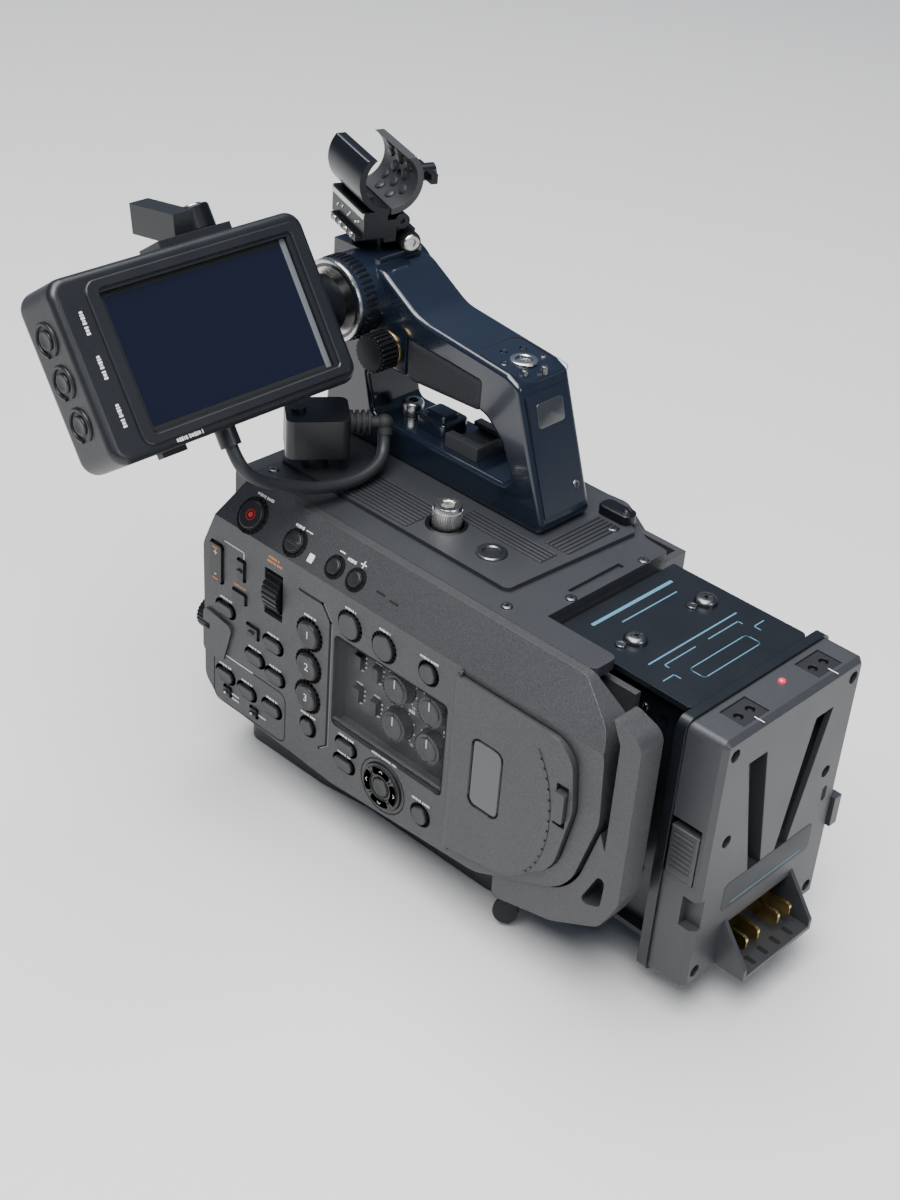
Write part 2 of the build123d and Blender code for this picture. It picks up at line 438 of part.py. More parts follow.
BACK_X1 = ADAPTER_REAR + 4.3
plate_outline = face([(-BATTERY_HALF, BATTERY_Z0, 2), (BATTERY_HALF, BATTERY_Z0, 2), (BATTERY_HALF,
                     BATTERY_Z1, 3),
                      (-BATTERY_HALF, BATTERY_Z1, 3)])
backplate = slab_x(offset(plate_outline, 1.2), ADAPTER_REAR, BACK_X1)
battery_plate = slab_x(plate_outline, BACK_X1, BATTERY_X)
battery_plate = chamfer(battery_plate.faces().sort_by(Axis.X)[-1].edges().filter_by(Axis.Z), 2.0)
WEDGE_DEPTH = 7.0
for side in (-1, 1):
    slot = face([(side * 26, 117, 0), (side * 15, 117, 0), (side * 4, 58, 0), (side * 12, 58, 0)])
    battery_plate -= slab_x(slot, BATTERY_X - WEDGE_DEPTH, BATTERY_X + 1)
    battery_plate -= slab_x(face([(side * 25, 117, 0), (side * 31, 110, 0), (side * 15, 62, 0),
                            (side * 11, 58, 0)]),
                            BATTERY_X - WEDGE_DEPTH, BATTERY_X - 2.5)
PLATE_SCREWS = [(-36, 125.5), (36, 125.5), (-31, 84), (31, 84), (-36, 23.5), (36, 23.5)]
for y, z in PLATE_SCREWS:
    battery_plate -= rod_x(BATTERY_X - 4, BATTERY_X + 1, y, z, 2.6)
    battery_plate -= rod_x(BACK_X1 - 1, BATTERY_X, y, z, 1.7)

SHROUD_X = BATTERY_X + 13.0
SHROUD_HALF = 22.0
SHROUD_Z0, SHROUD_Z1 = BATTERY_Z0 + 1.3, 42.0
battery_plate += block(BATTERY_X - 1, SHROUD_X, -SHROUD_HALF, SHROUD_HALF, SHROUD_Z0, SHROUD_Z0 + 2)
for side in (-1, 1):
    wall = face([(BATTERY_X - 1, SHROUD_Z0, 0), (SHROUD_X, SHROUD_Z0, 0), (SHROUD_X, SHROUD_Z0 + 5, 1.5),
                 (BATTERY_X - 1, SHROUD_Z1, 0)])
    y0, y1 = sorted((side * SHROUD_HALF, side * (SHROUD_HALF - 1.8)))
    battery_plate += slab_y(wall, y0, y1)
battery_plate -= block(BATTERY_X - 7, BATTERY_X + 0.5, -SHROUD_HALF + 1.8, SHROUD_HALF - 1.8,
                       SHROUD_Z0 + 2, 38)
CONTACTS_Y = (-14.0, -6.5, 6.5, 14.0)
CONTACT_Z = 28.0
battery_contacts = []
for y in CONTACTS_Y:
    pin = block(BATTERY_X - 7, BATTERY_X + 7, y - 0.6, y + 0.6, CONTACT_Z - 3.5, CONTACT_Z + 3.5)
    battery_contacts.append(fillet(pin.faces().sort_by(Axis.X)[-1].edges().filter_by(Axis.Y), 2.2))

SOCKETS_Y = (-21.0, 24.0)
SOCKET_X = 129.5
power_sockets = []
for y in SOCKETS_Y:
    battery_plate -= block(SOCKET_X - 5.5, SOCKET_X + 5.5, y - 7.5, y + 7.5, BATTERY_Z1 - 9, BATTERY_Z1 + 1)
    body = block(SOCKET_X - 5.4, SOCKET_X + 5.4, y - 7.4, y + 7.4, BATTERY_Z1 - 9, BATTERY_Z1 - 0.6)
    for dy in (-3.4, 3.4):
        body -= rod_z(BATTERY_Z1 - 7, BATTERY_Z1, SOCKET_X, y + dy, 1.9)
        power_sockets.append(rod_z(BATTERY_Z1 - 7, BATTERY_Z1 - 1.4, SOCKET_X, y + dy, 1.1))
    power_sockets.append(body)

battery_plate -= block(BACK_X1 - 1, BATTERY_X - 4 + 0.3, -BATTERY_HALF - 2, -34, 66, 92)
battery_release = block(BACK_X1 + 0.5, BATTERY_X - 4, -BATTERY_HALF - 0.8, -36.5, 66.3, 88.5)
battery_release = fillet(battery_release.faces().sort_by(Axis.Y)[0].edges(), 0.8)
battery_plate -= block(BATTERY_X - 7, BATTERY_X + 1, -BATTERY_HALF - 1, -BATTERY_HALF + 4, 46, 60)
battery_plate += block(BATTERY_X - 13, BATTERY_X + 1.5, BATTERY_HALF - 1, BATTERY_HALF + 3.5, 52, 66)

# ---------------------------------------------------------------- top handle
HANDLE_Y0, HANDLE_Y1 = LENS_Y - HANDLE_HALF, LENS_Y + HANDLE_HALF
FOOT_Z = PAD_Z
HANDLE_TOP_REAR = 202.0
handle_outer = face([(-113, FOOT_Z, 3), (-110, 176, 8), (-112, 196, 6), (-104, 219, 10), (-82, 219, 12),
                     (-60, HANDLE_TOP_REAR + 4, 20), (-12, HANDLE_TOP_REAR - 1, 5), (-5.5,
                                                                 HANDLE_TOP_REAR - 4, 4),
                     (13.5, FOOT_Z + 3, 4), (11, FOOT_Z, 2)])
GRIP_Z = 177.5
handle_inner = face([(-88, GRIP_Z - 3, 5), (-84, GRIP_Z + 1, 3), (-22, GRIP_Z + 3, 10), (-12, 172, 7),
                    (-3.5, 155, 4),
                     (-83, 155, 4)])
handle_frame = slab_y(handle_outer - handle_inner, HANDLE_Y0, HANDLE_Y1)
long_edges = handle_frame.edges().filter_by(lambda e: abs(e.center().Y - LENS_Y) > HANDLE_HALF - 0.01)
upper = [e for e in long_edges if e.center().Z > FOOT_Z + 1]
handle_frame = fillet(upper, 2.0)
handle_frame += block(DRUM_X - 18, DRUM_X + 9, HANDLE_Y0 + 4, HANDLE_Y1 - 2, DRUM_Z, DRUM_Z + DRUM_R)
handle_frame += rod_y(DRUM_LEFT, HANDLE_Y1 + 1, DRUM_X, DRUM_Z, DRUM_R)
handle_frame -= rod_y(DRUM_LEFT - 1, DRUM_LEFT + 4, DRUM_X, DRUM_Z, DRUM_R - 3)
handle_frame -= rod_y(DRUM_LEFT - 1, HANDLE_Y1 - 4, DRUM_X, DRUM_Z, ROD_R + SHAFT_RUN)
GRIP_X0, GRIP_X1 = -66.0, -24.0
grip_shape = face([(GRIP_X0, 180.5, 0), (GRIP_X1, 182.5, 0), (GRIP_X1, 194, 2), (GRIP_X0, 197, 2)])
grip_recess = slab_y(grip_shape, HANDLE_Y0 - 1, HANDLE_Y0 + GRIP_WALL)
grip_recess += slab_y(grip_shape, HANDLE_Y1 - GRIP_WALL, HANDLE_Y1 + 1)
grip_recess += slab_y(face([(GRIP_X0, 170, 0), (GRIP_X1, 170, 0), (GRIP_X1, 182.6, 0), (GRIP_X0, 182.6, 0)]),
                      HANDLE_Y0 - 1, HANDLE_Y1 + 1)
handle_frame -= grip_recess
grip_lower = slab_y(face([(GRIP_X0, GRIP_Z, 4), (GRIP_X1, GRIP_Z + 2, 4), (GRIP_X1, 194, 2), (GRIP_X0,
                    197, 2)]),
                    HANDLE_Y0, HANDLE_Y1)
grip_lower = fillet(grip_lower.edges().filter_by(lambda e: e.center().Z < GRIP_Z + 3
                                                 and abs(e.center().Y - LENS_Y) > HANDLE_HALF - 0.01), 3)
handle_grip = grip_lower & grip_recess

# rear cover of the handle: it stands off the slanted back of the rear post
COVER_INSET = 2.6     # keeps the cover clear of the rounded edges of the post
cover_band = face([(-6.6, HANDLE_TOP_REAR - 8, 0), (-3.4, HANDLE_TOP_REAR - 8, 0), (12.6, FOOT_Z + 7, 0),
                   (9.4, FOOT_Z + 7, 0)])
rear_cover = slab_y(cover_band, HANDLE_Y0 + COVER_INSET, HANDLE_Y1 - COVER_INSET)
handle_frame -= rear_cover

TOP_THREAD_X = -16.4
handle_frame -= rod_z(HANDLE_TOP_REAR - 12, HANDLE_TOP_REAR + 5, TOP_THREAD_X, LENS_Y, SMALL_THREAD_R)
handle_screws = []
for angle in range(0, 360, 60):
    spot = Pos(TOP_THREAD_X, LENS_Y, 0) * Rot(0, 0, angle + 15) * Pos(9.0, 0, 0)
    x, y = spot.position.X, spot.position.Y
    top = HANDLE_TOP_REAR - 4
    handle_frame -= rod_z(top - 4, top + 8, x, y, 1.5)
    handle_screws.append(rod_z(top - 3, HANDLE_TOP_REAR - 1.0, x, y, 1.4))
FOOT_SCREW_X = -74.0
handle_screws.append(fillet(rod_z(155, 160, FOOT_SCREW_X, LENS_Y, 4.2).edges().sort_by(Axis.Z)[-1], 1)
                     - rod_z(158, 161, FOOT_SCREW_X, LENS_Y, 2))
SHOE_X = -36.0
accessory_shoe = block(SHOE_X - 9, SHOE_X + 9, LENS_Y - 10.5, LENS_Y + 10.5, 155, 161)
accessory_shoe -= block(SHOE_X - 10, SHOE_X + 7.5, LENS_Y - 9.3, LENS_Y + 9.3, 157, 159.2)
accessory_shoe -= block(SHOE_X - 10, SHOE_X + 7.5, LENS_Y - 6.3, LENS_Y + 6.3, 158, 162)

# ---------------------------------------------------------------- monitor
TILT = Plane(origin=MONITOR_AT, x_dir=(0, 1, 0), z_dir=Vector(1, 0, 0).rotate(Axis.Y, -MONITOR_TILT))
SHELL_Y = -4.3        # the shell is wider on its key side
SHELL_V = 0.7
FRONT_T = 7.0
shell_face = Pos(SHELL_Y, SHELL_V) * RectangleRounded(MONITOR_W, MONITOR_H, 7)
shell = Pos(0, 0, -MONITOR_T) * extrude(shell_face, MONITOR_T - FRONT_T)
shell = fillet(shell.faces().sort_by(Axis.Z)[0].edges(), 4)
shell -= Pos(0, 0, -MONITOR_T + 3) * extrude(offset(shell_face, -3), MONITOR_T)
bezel = Pos(0, 0, -FRONT_T) * extrude(shell_face, FRONT_T)
bezel = fillet(bezel.faces().sort_by(Axis.Z)[-1].edges(), 3.2)
bezel -= Pos(0, 0, -FRONT_T - 1) * extrude(RectangleRounded(GLASS_W - 6, GLASS_H - 6, 1), FRONT_T + 2)
bezel -= Pos(0, 0, -3.2) * extrude(Rectangle(GLASS_W, GLASS_H), 5)
bezel -= Pos(0, 0, -FRONT_T - 1) * extrude(offset(shell_face, -3), FRONT_T - 4)
glass = Pos(0, 0, -3.15) * extrude(Rectangle(GLASS_W - 0.2, GLASS_H - 0.2), 1.2)
KEY_SIDE = SHELL_Y - MONITOR_W / 2
monitor_keys = []
for v in (17.0, 1.0, -15.0):
    hole = Pos(KEY_SIDE, v, -13) * Rot(0, 90, 0) * Cylinder(4.6, 8)
    shell -= hole
    bezel -= hole
    monitor_keys.append(Pos(KEY_SIDE + 1.6, v, -13) * Rot(0, 90, 0) * Cylinder(4.55, 3.2))
SHELL_BOTTOM, SHELL_TOP = SHELL_V - MONITOR_H / 2, SHELL_V + MONITOR_H / 2
SHELL_RIGHT = MONITOR_AT[1] + SHELL_Y + MONITOR_W / 2
monitor_keys.append(Pos(-32, SHELL_BOTTOM - 1.1, -12) * Box(11, 2.2, 4))
RELIEF_U, RELIEF_W = -6.0, -13.0      # strain relief of the cable, under the shell
RELIEF_LENGTH = 7.0
shell += Pos(RELIEF_U, SHELL_BOTTOM - RELIEF_LENGTH / 2 + 0.5, RELIEF_W) * Rot(90, 0, 0) * Cylinder(
    4.2, RELIEF_LENGTH + 1)
HUB_R = 12.0
clip_base = Pos(8, SHELL_TOP + 1.5, -12) * Box(34, 3, 14)
CLIP_ARM = (9.0, 12.0, 27.0)          # width, height and length of the arm that reaches back
CLIP_ARM_RISE = 26.0                  # the arm leans up from the screen's normal by this much
clip_arm = Pos(7, SHELL_TOP + 11.5, -21) * Rot(CLIP_ARM_RISE, 0, 0) * Box(*CLIP_ARM)
clip_post = Pos(16, SHELL_TOP + 6.5, -13) * Rot(90, 0, 0) * Cylinder(6.6, 9)
clip_screw = Pos(16, SHELL_TOP + 11.6, -13) * Rot(90, 0, 0) * Cylinder(3.6, 1.4)
hood_clip = clip_base + clip_arm + clip_post + clip_screw

monitor_arm = rod_y(DRUM_LEFT + 4.5, HANDLE_Y1 - 5, DRUM_X, DRUM_Z, ROD_R)
monitor_arm += rod_y(DRUM_LEFT - 6.5, DRUM_LEFT + 4.5, DRUM_X, DRUM_Z, ROD_R)
monitor_arm += rod_y(SHELL_RIGHT + SEAT, DRUM_LEFT - 3.2, DRUM_X, DRUM_Z, HUB_R)

CLAMP_X, CLAMP_Z = -73.5, 190.0
handle_frame += rod_y(HANDLE_Y0 - 3, HANDLE_Y0 + 2, CLAMP_X, CLAMP_Z, 5)
handle_frame -= rod_y(HANDLE_Y0 - 4, HANDLE_Y0 + 6, CLAMP_X, CLAMP_Z, 2 + SHAFT_RUN)
clamp_knob = Pos(CLAMP_X, HANDLE_Y0 - 3 - RUN - 5, CLAMP_Z) * Rot(90, 0, 0) * knurled(7.5, 10, 24, 0.8)
clamp_knob += rod_y(HANDLE_Y0 - 4, HANDLE_Y0 + 5, CLAMP_X, CLAMP_Z, 2)
clamp_knob += rod_y(HANDLE_Y0 - 5, HANDLE_Y0 - 3 - RUN, CLAMP_X, CLAMP_Z, 8.2)

# ---------------------------------------------------------------- microphone holder
MIC_R = 11.0
MIC_LENGTH = 34.0
MIC_YAW = -21.0
MIC_PLACE = Pos(-104, LENS_Y + 1, 0) * Rot(0, 0, MIC_YAW)
MIC_Z = 252.0
SHELL_T = 2.6
MIC_FOOT_Z = DRUM_Z + DRUM_R     # the pad that the holder stands on
FOOT_TOP = MIC_FOOT_Z + 11.0


def cradle_half(side):
    """Curved half of the clamp about the microphone's axis (local X)."""
    reach = MIC_LENGTH / 2
    ring = rod_x(-reach, reach, 0, MIC_Z, MIC_R + SHELL_T) - rod_x(-reach - 1, reach + 1, 0, MIC_Z, MIC_R)
    y0, y1 = sorted((side * 0.4, side * 2 * MIC_R))
    return ring & block(-reach - 1, reach + 1, y0, y1, MIC_Z - 2 * MIC_R, MIC_Z + 9)


PLATE_Z0, PLATE_Z1 = FOOT_TOP - 6.0, FOOT_TOP - 3.0     # square plate on top of the foot
BOLT_Y, BOLT_Z = 9.0, MIC_FOOT_Z + 4.4
mic_base = rod_z(MIC_FOOT_Z, PLATE_Z1, 0, 0, 8) + block(-13, 13, -13, 13, PLATE_Z0, PLATE_Z1)
mic_base += block(-MIC_LENGTH / 2, MIC_LENGTH / 2, -11, -1, PLATE_Z1 - 1, MIC_Z - MIC_R - 1)
mic_base += cradle_half(-1)
mic_base -= rod_x(-30, 30, 0, MIC_Z, MIC_R)
mic_base += rod_x(-8, 19, BOLT_Y, BOLT_Z, 4.0) - rod_x(17, 20, BOLT_Y, BOLT_Z, 1.8)
MIC_HINGE_Z = MIC_Z - MIC_R - SHELL_T - 3.2
MIC_HINGE_Y = 5.5
knuckle = rod_x(-MIC_LENGTH / 2, MIC_LENGTH / 2, MIC_HINGE_Y, MIC_HINGE_Z, 3.2)
hinge_gap = rod_x(-9, 9, MIC_HINGE_Y, MIC_HINGE_Z, 3.6)
mic_base = mic_base - rod_x(-30, 30, MIC_HINGE_Y, MIC_HINGE_Z, 3.6)
middle = block(-9, 9, -20, 20, MIC_HINGE_Z - 10, MIC_HINGE_Z + 10)
mic_base += knuckle - middle
for x0 in (-17, 9):
    mic_base += block(x0, x0 + 8, -2, 3, PLATE_Z0, MIC_HINGE_Z + 1)
mic_base -= rod_x(-30, 30, MIC_HINGE_Y, MIC_HINGE_Z, 1.0)
mic_cradle = cradle_half(1) + (knuckle & block(-8.7, 8.7, -20, 20, MIC_HINGE_Z - 10, MIC_HINGE_Z + 10))
mic_cradle += block(-8.7, 8.7, MIC_HINGE_Y - 1, MIC_HINGE_Y + 3.2, MIC_HINGE_Z, MIC_Z - MIC_R + 1) - rod_x(
    -30, 30, 0, MIC_Z, MIC_R)
mic_cradle -= rod_x(-30, 30, MIC_HINGE_Y, MIC_HINGE_Z, 1.0 + SHAFT_RUN)
mic_base += rod_x(-16, 16, MIC_HINGE_Y, MIC_HINGE_Z, 1.0)
WING_Z = MIC_Z - 4.0
wing_y = MIC_R + SHELL_T
mic_cradle += block(-5, 5, wing_y - 1.2, wing_y + 4, WING_Z - 5, WING_Z + 5)
mic_cradle -= rod_y(MIC_R - 1, wing_y + 5, 0, WING_Z, 2 + SHAFT_RUN)
mic_wing_screw = rod_y(MIC_R + 0.6, wing_y + 10, 0, WING_Z, 2) + rod_y(wing_y + 4 + RUN, wing_y + 12, 0,
                                            WING_Z, 3.6)
mic_wing_screw += block(-9, 9, wing_y + 7, wing_y + 10, WING_Z - 2, WING_Z + 2)

# ---------------------------------------------------------------- monitor socket and cable
SOCKET_HALF, SOCKET_SIDE = 13.0, 11.0       # half length and half width of the block
SOCKET_Z0, SOCKET_Z1 = 149.0, 166.0
SOCKET_AT = Pos(-85, -30, 0) * Rot(0, 0, 52.3)
monitor_socket = block(-SOCKET_HALF, SOCKET_HALF, -SOCKET_SIDE, SOCKET_SIDE, SOCKET_Z0, SOCKET_Z1)
monitor_socket = fillet(monitor_socket.edges().filter_by(Axis.Z), 3.5)
monitor_socket += rod_z(PAD_Z, SOCKET_Z0 + 1, 0, 2, 5.5) + rod_z(SOCKET_Z1, SOCKET_Z1 + 1.6, -7.5, 0, 3)
monitor_socket = SOCKET_AT * monitor_socket

BOOT_LENGTH = 8.5
STEM_LENGTH = 14.5    # from the block to the centre of the elbow
CABLE_R = 2.6
BOOT_Z = 160.0
cable_boot = rod_x(SOCKET_HALF, SOCKET_HALF + BOOT_LENGTH, 0, BOOT_Z, 5.2)
for k in range(3):
    groove = SOCKET_HALF + 1.6 + 2.4 * k
    cable_boot -= rod_x(groove, groove + 1.2, 0, BOOT_Z, 6) - rod_x(groove - 1, groove + 3, 0, BOOT_Z, 4.0)
cable_boot += rod_x(SOCKET_HALF, SOCKET_HALF + STEM_LENGTH, 0, BOOT_Z, 2.6)
cable_boot += Pos(SOCKET_HALF + STEM_LENGTH, 0, BOOT_Z) * Sphere(3.6)
cable_boot = SOCKET_AT * cable_boot
ELBOW = (SOCKET_AT * Pos(SOCKET_HALF + STEM_LENGTH, 0, BOOT_Z)).position
DROP = Vector(0.35, -0.25, -0.9).normalized()      # the way the cable leaves the elbow
START = ELBOW + DROP * 5.0
cable_boot += Plane(origin=ELBOW, z_dir=DROP) * Pos(0, 0, 2.5) * Cylinder(3.0, 5.0)
RELIEF_END = Vector(*TILT.from_local_coords(Vector(RELIEF_U, SHELL_BOTTOM - RELIEF_LENGTH, RELIEF_W)))
ROUTE = [START, START + DROP * 6.0, (-60.8, -17.5, 147.0), (-59.5, -28.5, 144.9), (-60.2, -40.0, 145.4),
         (-61.8, -52.5, 147.8), (-63.6, -63.8, 152.1), (-64.7, -73.7, 156.7), (-65.6, -81.5, 162.0),
         RELIEF_END - TILT.y_dir * 7.0, RELIEF_END]
ROUTE = [Vector(*point) for point in ROUTE]


def turn_at(a, b, c):
    """Largest arc that the two runs allow at b: 0.45 of the shorter run over tan(half turn)."""
    one, two = b - a, c - b
    half = math.radians(one.get_angle(two)) / 2
    return 0.45 * min(one.length, two.length) / math.tan(half)


radii = [turn_at(*ROUTE[k - 1:k + 2]) for k in range(1, len(ROUTE) - 1)]
print("cable radii", [round(r, 1) for r in radii])
cable_path = FilletPolyline(*ROUTE, radius=radii)
monitor_cable = sweep(Plane(origin=cable_path @ 0, z_dir=cable_path % 0) * Circle(CABLE_R), path=cable_path)
print("cable length", round(cable_path.length, 1), "volume ratio",
      round(monitor_cable.volume / (math.pi * CABLE_R ** 2 * cable_path.length), 4))

# ---------------------------------------------------------------- write
on_monitor = TILT.location
PARTS = {
    "left_cover": left_cover, "panel_keys": panel_keys + panel_switches,
    "rec_button": rec_button, "hold_switch": hold_switch, "volume_minus": volume_minus,
    "volume_plus": volume_plus, "nd_rocker": nd_rocker, "nd_dial": nd_dial, "front_dial": front_dial,
    "menu_ring": menu_ring, "menu_button": menu_button, "audio_cover": audio_cover,
    "media_door": media_door, "door_window": door_window, "door_latch": door_latch,
    "base_plate": base_plate, "chassis_frame": chassis, "front_frame": front_frame,
    "lens_flange": lens_flange, "mount_lock_ring": lock_ring, "image_sensor": image_sensor,
    "main_board": main_board, "card_slot_block": card_slots, "right_cover": right_cover,
    "top_deck": top_deck, "handle_lock_knob": handle_lock_knob, "rear_frame": rear_frame,
    "rear_guard": rear_guard, "socket_cap": socket_cap, "adapter_housing": adapter,
    "machine_screws": adapter_screws + handle_screws, "battery_backplate": backplate,
    "battery_plate": battery_plate,
    "battery_contacts": battery_contacts, "power_sockets": power_sockets, "battery_release": battery_release,
    "handle_frame": handle_frame, "handle_grip": handle_grip, "handle_rear_cover": rear_cover,
    "accessory_shoe": accessory_shoe, "monitor_arm": monitor_arm,
    "monitor_shell": on_monitor * shell, "monitor_bezel": on_monitor * bezel,
    "monitor_glass": on_monitor * glass,
    "monitor_keys": moved(on_monitor, monitor_keys), "hood_clip": on_monitor * hood_clip,
    "rod_clamp_knob": clamp_knob, "mic_base": MIC_PLACE * mic_base, "mic_cradle": MIC_PLACE * mic_cradle,
    "mic_wing_screw": MIC_PLACE * mic_wing_screw, "monitor_socket": monitor_socket,
    "cable_boot": cable_boot, "monitor_cable": monitor_cable,
}
for number, button in enumerate(assign_buttons, 1):
    PARTS[f"assign_button_{number}"] = button
for number, dial in enumerate(audio_dials, 1):
    PARTS[f"audio_dial_{number}"] = dial
for name, shape in PARTS.items():
    save(name, shape)
print(len(PARTS), "parts")
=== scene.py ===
"""Studio look of a cinema camera rig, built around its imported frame.

Lengths in this file are millimetres in the row's frame until a mesh is made, where they become
metres. +X runs to the battery plate, the operator panel faces -Y and +Z is up.
"""

import logging
import math
from dataclasses import dataclass, field
from enum import Enum

import bmesh
import bpy
from mathutils import Matrix, Vector


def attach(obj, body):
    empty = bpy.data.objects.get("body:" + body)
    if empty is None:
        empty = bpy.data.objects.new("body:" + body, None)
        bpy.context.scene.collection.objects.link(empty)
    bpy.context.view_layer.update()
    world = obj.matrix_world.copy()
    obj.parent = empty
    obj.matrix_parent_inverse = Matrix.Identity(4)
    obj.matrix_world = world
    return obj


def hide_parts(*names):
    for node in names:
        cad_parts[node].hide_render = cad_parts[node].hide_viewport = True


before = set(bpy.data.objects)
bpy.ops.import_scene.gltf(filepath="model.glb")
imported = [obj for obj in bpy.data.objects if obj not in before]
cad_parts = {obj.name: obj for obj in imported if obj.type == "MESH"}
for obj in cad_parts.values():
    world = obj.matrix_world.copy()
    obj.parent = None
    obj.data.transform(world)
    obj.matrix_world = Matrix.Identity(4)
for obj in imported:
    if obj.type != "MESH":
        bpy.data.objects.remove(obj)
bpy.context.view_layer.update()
log = logging.getLogger("camera_rig")

MM = 0.001
SMOOTH_ANGLE = 35.0   # edges that turn by less than this, in degrees, are shaded smooth
COAT_ROUGHNESS = 0.08
BRUSH_STRETCH = 12.0  # how much finer the brushed grain is along Z
SMUDGE_SIZE = 22.0    # broad smudges in the gloss
GRAIN_DEPTH = 0.25
BEVEL_SAMPLES = 4
REPEAT_SEED = 7       # of the loose turns of screws
PRINT_T = 0.06        # thickness of printing
PRINT_SUNK = -0.02    # printing starts this far under its face
TO_REAR = Vector((1, 0, 0))
TO_RIGHT = Vector((0, 1, 0))
UP = Vector((0, 0, 1))
PANEL_Y = -67.0       # outer face of the operator panel
FOLD_Z = 122.0        # where the panel folds into the sloped band
BAND_UP = Vector((0, 13.0, 16.5)).normalized()
BAND_OUT = Vector((0, -16.5, 13.0)).normalized()
PAD_Z = 140.5         # ribbed pad on the deck
PLATE_X = 138.3       # outer face of the battery plate
ADAPTER_TOP = 133.5
LENS_Y, LENS_Z = 14.0, 84.0
HANDLE_Y0, HANDLE_Y1 = -0.5, 28.5
SCREEN_AT = Vector((-83.5, -80.5, 215.5))
SCREEN_TILT = math.radians(34.6)
ROOT = "camera_body"


# ---------------------------------------------------------------- finishes
@dataclass(frozen=True)
class Finish:
    """One procedural finish: colour, gloss, fine grain and softened edges."""

    name: str
    colour: tuple[float, float, float]
    roughness: float = 0.5
    metallic: float = 0.0
    grain: float = 0.0
    grain_size: float = 0.6
    fleck: float = 0.0
    coat: float = 0.0
    glow: float = 0.0
    clear: float = 0.0
    brushed: bool = False
    soften: float = 0.35

    def material(self) -> bpy.types.Material:
        """Builds the node tree once and hands back the same material afterwards.

        Returns:
            The finished material.
        """
        known = bpy.data.materials.get(self.name)
        if known:
            return known
        made = bpy.data.materials.new(self.name)
        made.use_nodes = True
        tree = made.node_tree
        shader = tree.nodes["Principled BSDF"]
        shader.inputs["Base Color"].default_value = (*self.colour, 1)
        shader.inputs["Roughness"].default_value = self.roughness
        shader.inputs["Metallic"].default_value = self.metallic
        shader.inputs["Coat Weight"].default_value = self.coat
        shader.inputs["Coat Roughness"].default_value = COAT_ROUGHNESS
        if self.glow:
            shader.inputs["Emission Color"].default_value = (*self.colour, 1)
            shader.inputs["Emission Strength"].default_value = self.glow
        if self.clear:
            shader.inputs["Alpha"].default_value = 1.0 - self.clear
        place = tree.nodes.new("ShaderNodeTexCoord").outputs["Object"]
        if self.brushed:
            stretch = tree.nodes.new("ShaderNodeMapping")
            stretch.inputs["Scale"].default_value = (1, 1, BRUSH_STRETCH)
            tree.links.new(place, stretch.inputs["Vector"])
            place = stretch.outputs["Vector"]
        self._mottle(tree, shader, place)
        self._surface(tree, shader, place)
        return made

    def _noise(self, tree: bpy.types.NodeTree, place: bpy.types.NodeSocket,
               size: float) -> bpy.types.NodeSocket:
        """Adds a noise pattern.

        Args:
            tree: The material's node tree.
            place: Coordinates that the pattern reads.
            size: Rough width of a lump, in millimetres.

        Returns:
            The pattern, from 0 to 1.
        """
        noise = tree.nodes.new("ShaderNodeTexNoise")
        noise.inputs["Scale"].default_value = 1.0 / (size * MM)
        noise.inputs["Detail"].default_value = 3.0
        tree.links.new(place, noise.inputs["Vector"])
        return noise.outputs["Fac"]

    def _mottle(self, tree: bpy.types.NodeTree, shader: bpy.types.Node, place: bpy.types.NodeSocket) -> None:
        """Varies the colour by the fleck and the gloss by broad smudges.

        Args:
            tree: The material's node tree.
            shader: Its surface shader.
            place: Coordinates that the patterns read.
        """
        if self.fleck:
            ramp = tree.nodes.new("ShaderNodeValToRGB")
            low = [max(0.0, c * (1 - self.fleck)) for c in self.colour]
            high = [min(1.0, c * (1 + self.fleck)) for c in self.colour]
            ramp.color_ramp.elements[0].position = 0.32
            ramp.color_ramp.elements[0].color = (*low, 1)
            ramp.color_ramp.elements[1].position = 0.68
            ramp.color_ramp.elements[1].color = (*high, 1)
            tree.links.new(self._noise(tree, place, self.grain_size * 1.4), ramp.inputs["Fac"])
            tree.links.new(ramp.outputs["Color"], shader.inputs["Base Color"])
        smudge = tree.nodes.new("ShaderNodeMapRange")
        smudge.inputs["To Min"].default_value = max(0.02, self.roughness - 0.06)
        smudge.inputs["To Max"].default_value = min(1.0, self.roughness + 0.08)
        tree.links.new(self._noise(tree, place, SMUDGE_SIZE), smudge.inputs["Value"])
        tree.links.new(smudge.outputs["Result"], shader.inputs["Roughness"])

    def _surface(self, tree: bpy.types.NodeTree, shader: bpy.types.Node, place: bpy.types.NodeSocket) -> None:
        """Adds the grain and rounds the look of sharp edges.

        Args:
            tree: The material's node tree.
            shader: Its surface shader.
            place: Coordinates that the patterns read.
        """
        rounded = None
        if self.soften:
            bevel = tree.nodes.new("ShaderNodeBevel")
            bevel.samples = BEVEL_SAMPLES
            bevel.inputs["Radius"].default_value = self.soften * MM
            rounded = bevel.outputs["Normal"]
        if self.grain:
            bump = tree.nodes.new("ShaderNodeBump")
            bump.inputs["Strength"].default_value = self.grain
            bump.inputs["Distance"].default_value = GRAIN_DEPTH * MM
            tree.links.new(self._noise(tree, place, self.grain_size), bump.inputs["Height"])
            if rounded:
                tree.links.new(rounded, bump.inputs["Normal"])
            rounded = bump.outputs["Normal"]
        if rounded:
            tree.links.new(rounded, shader.inputs["Normal"])


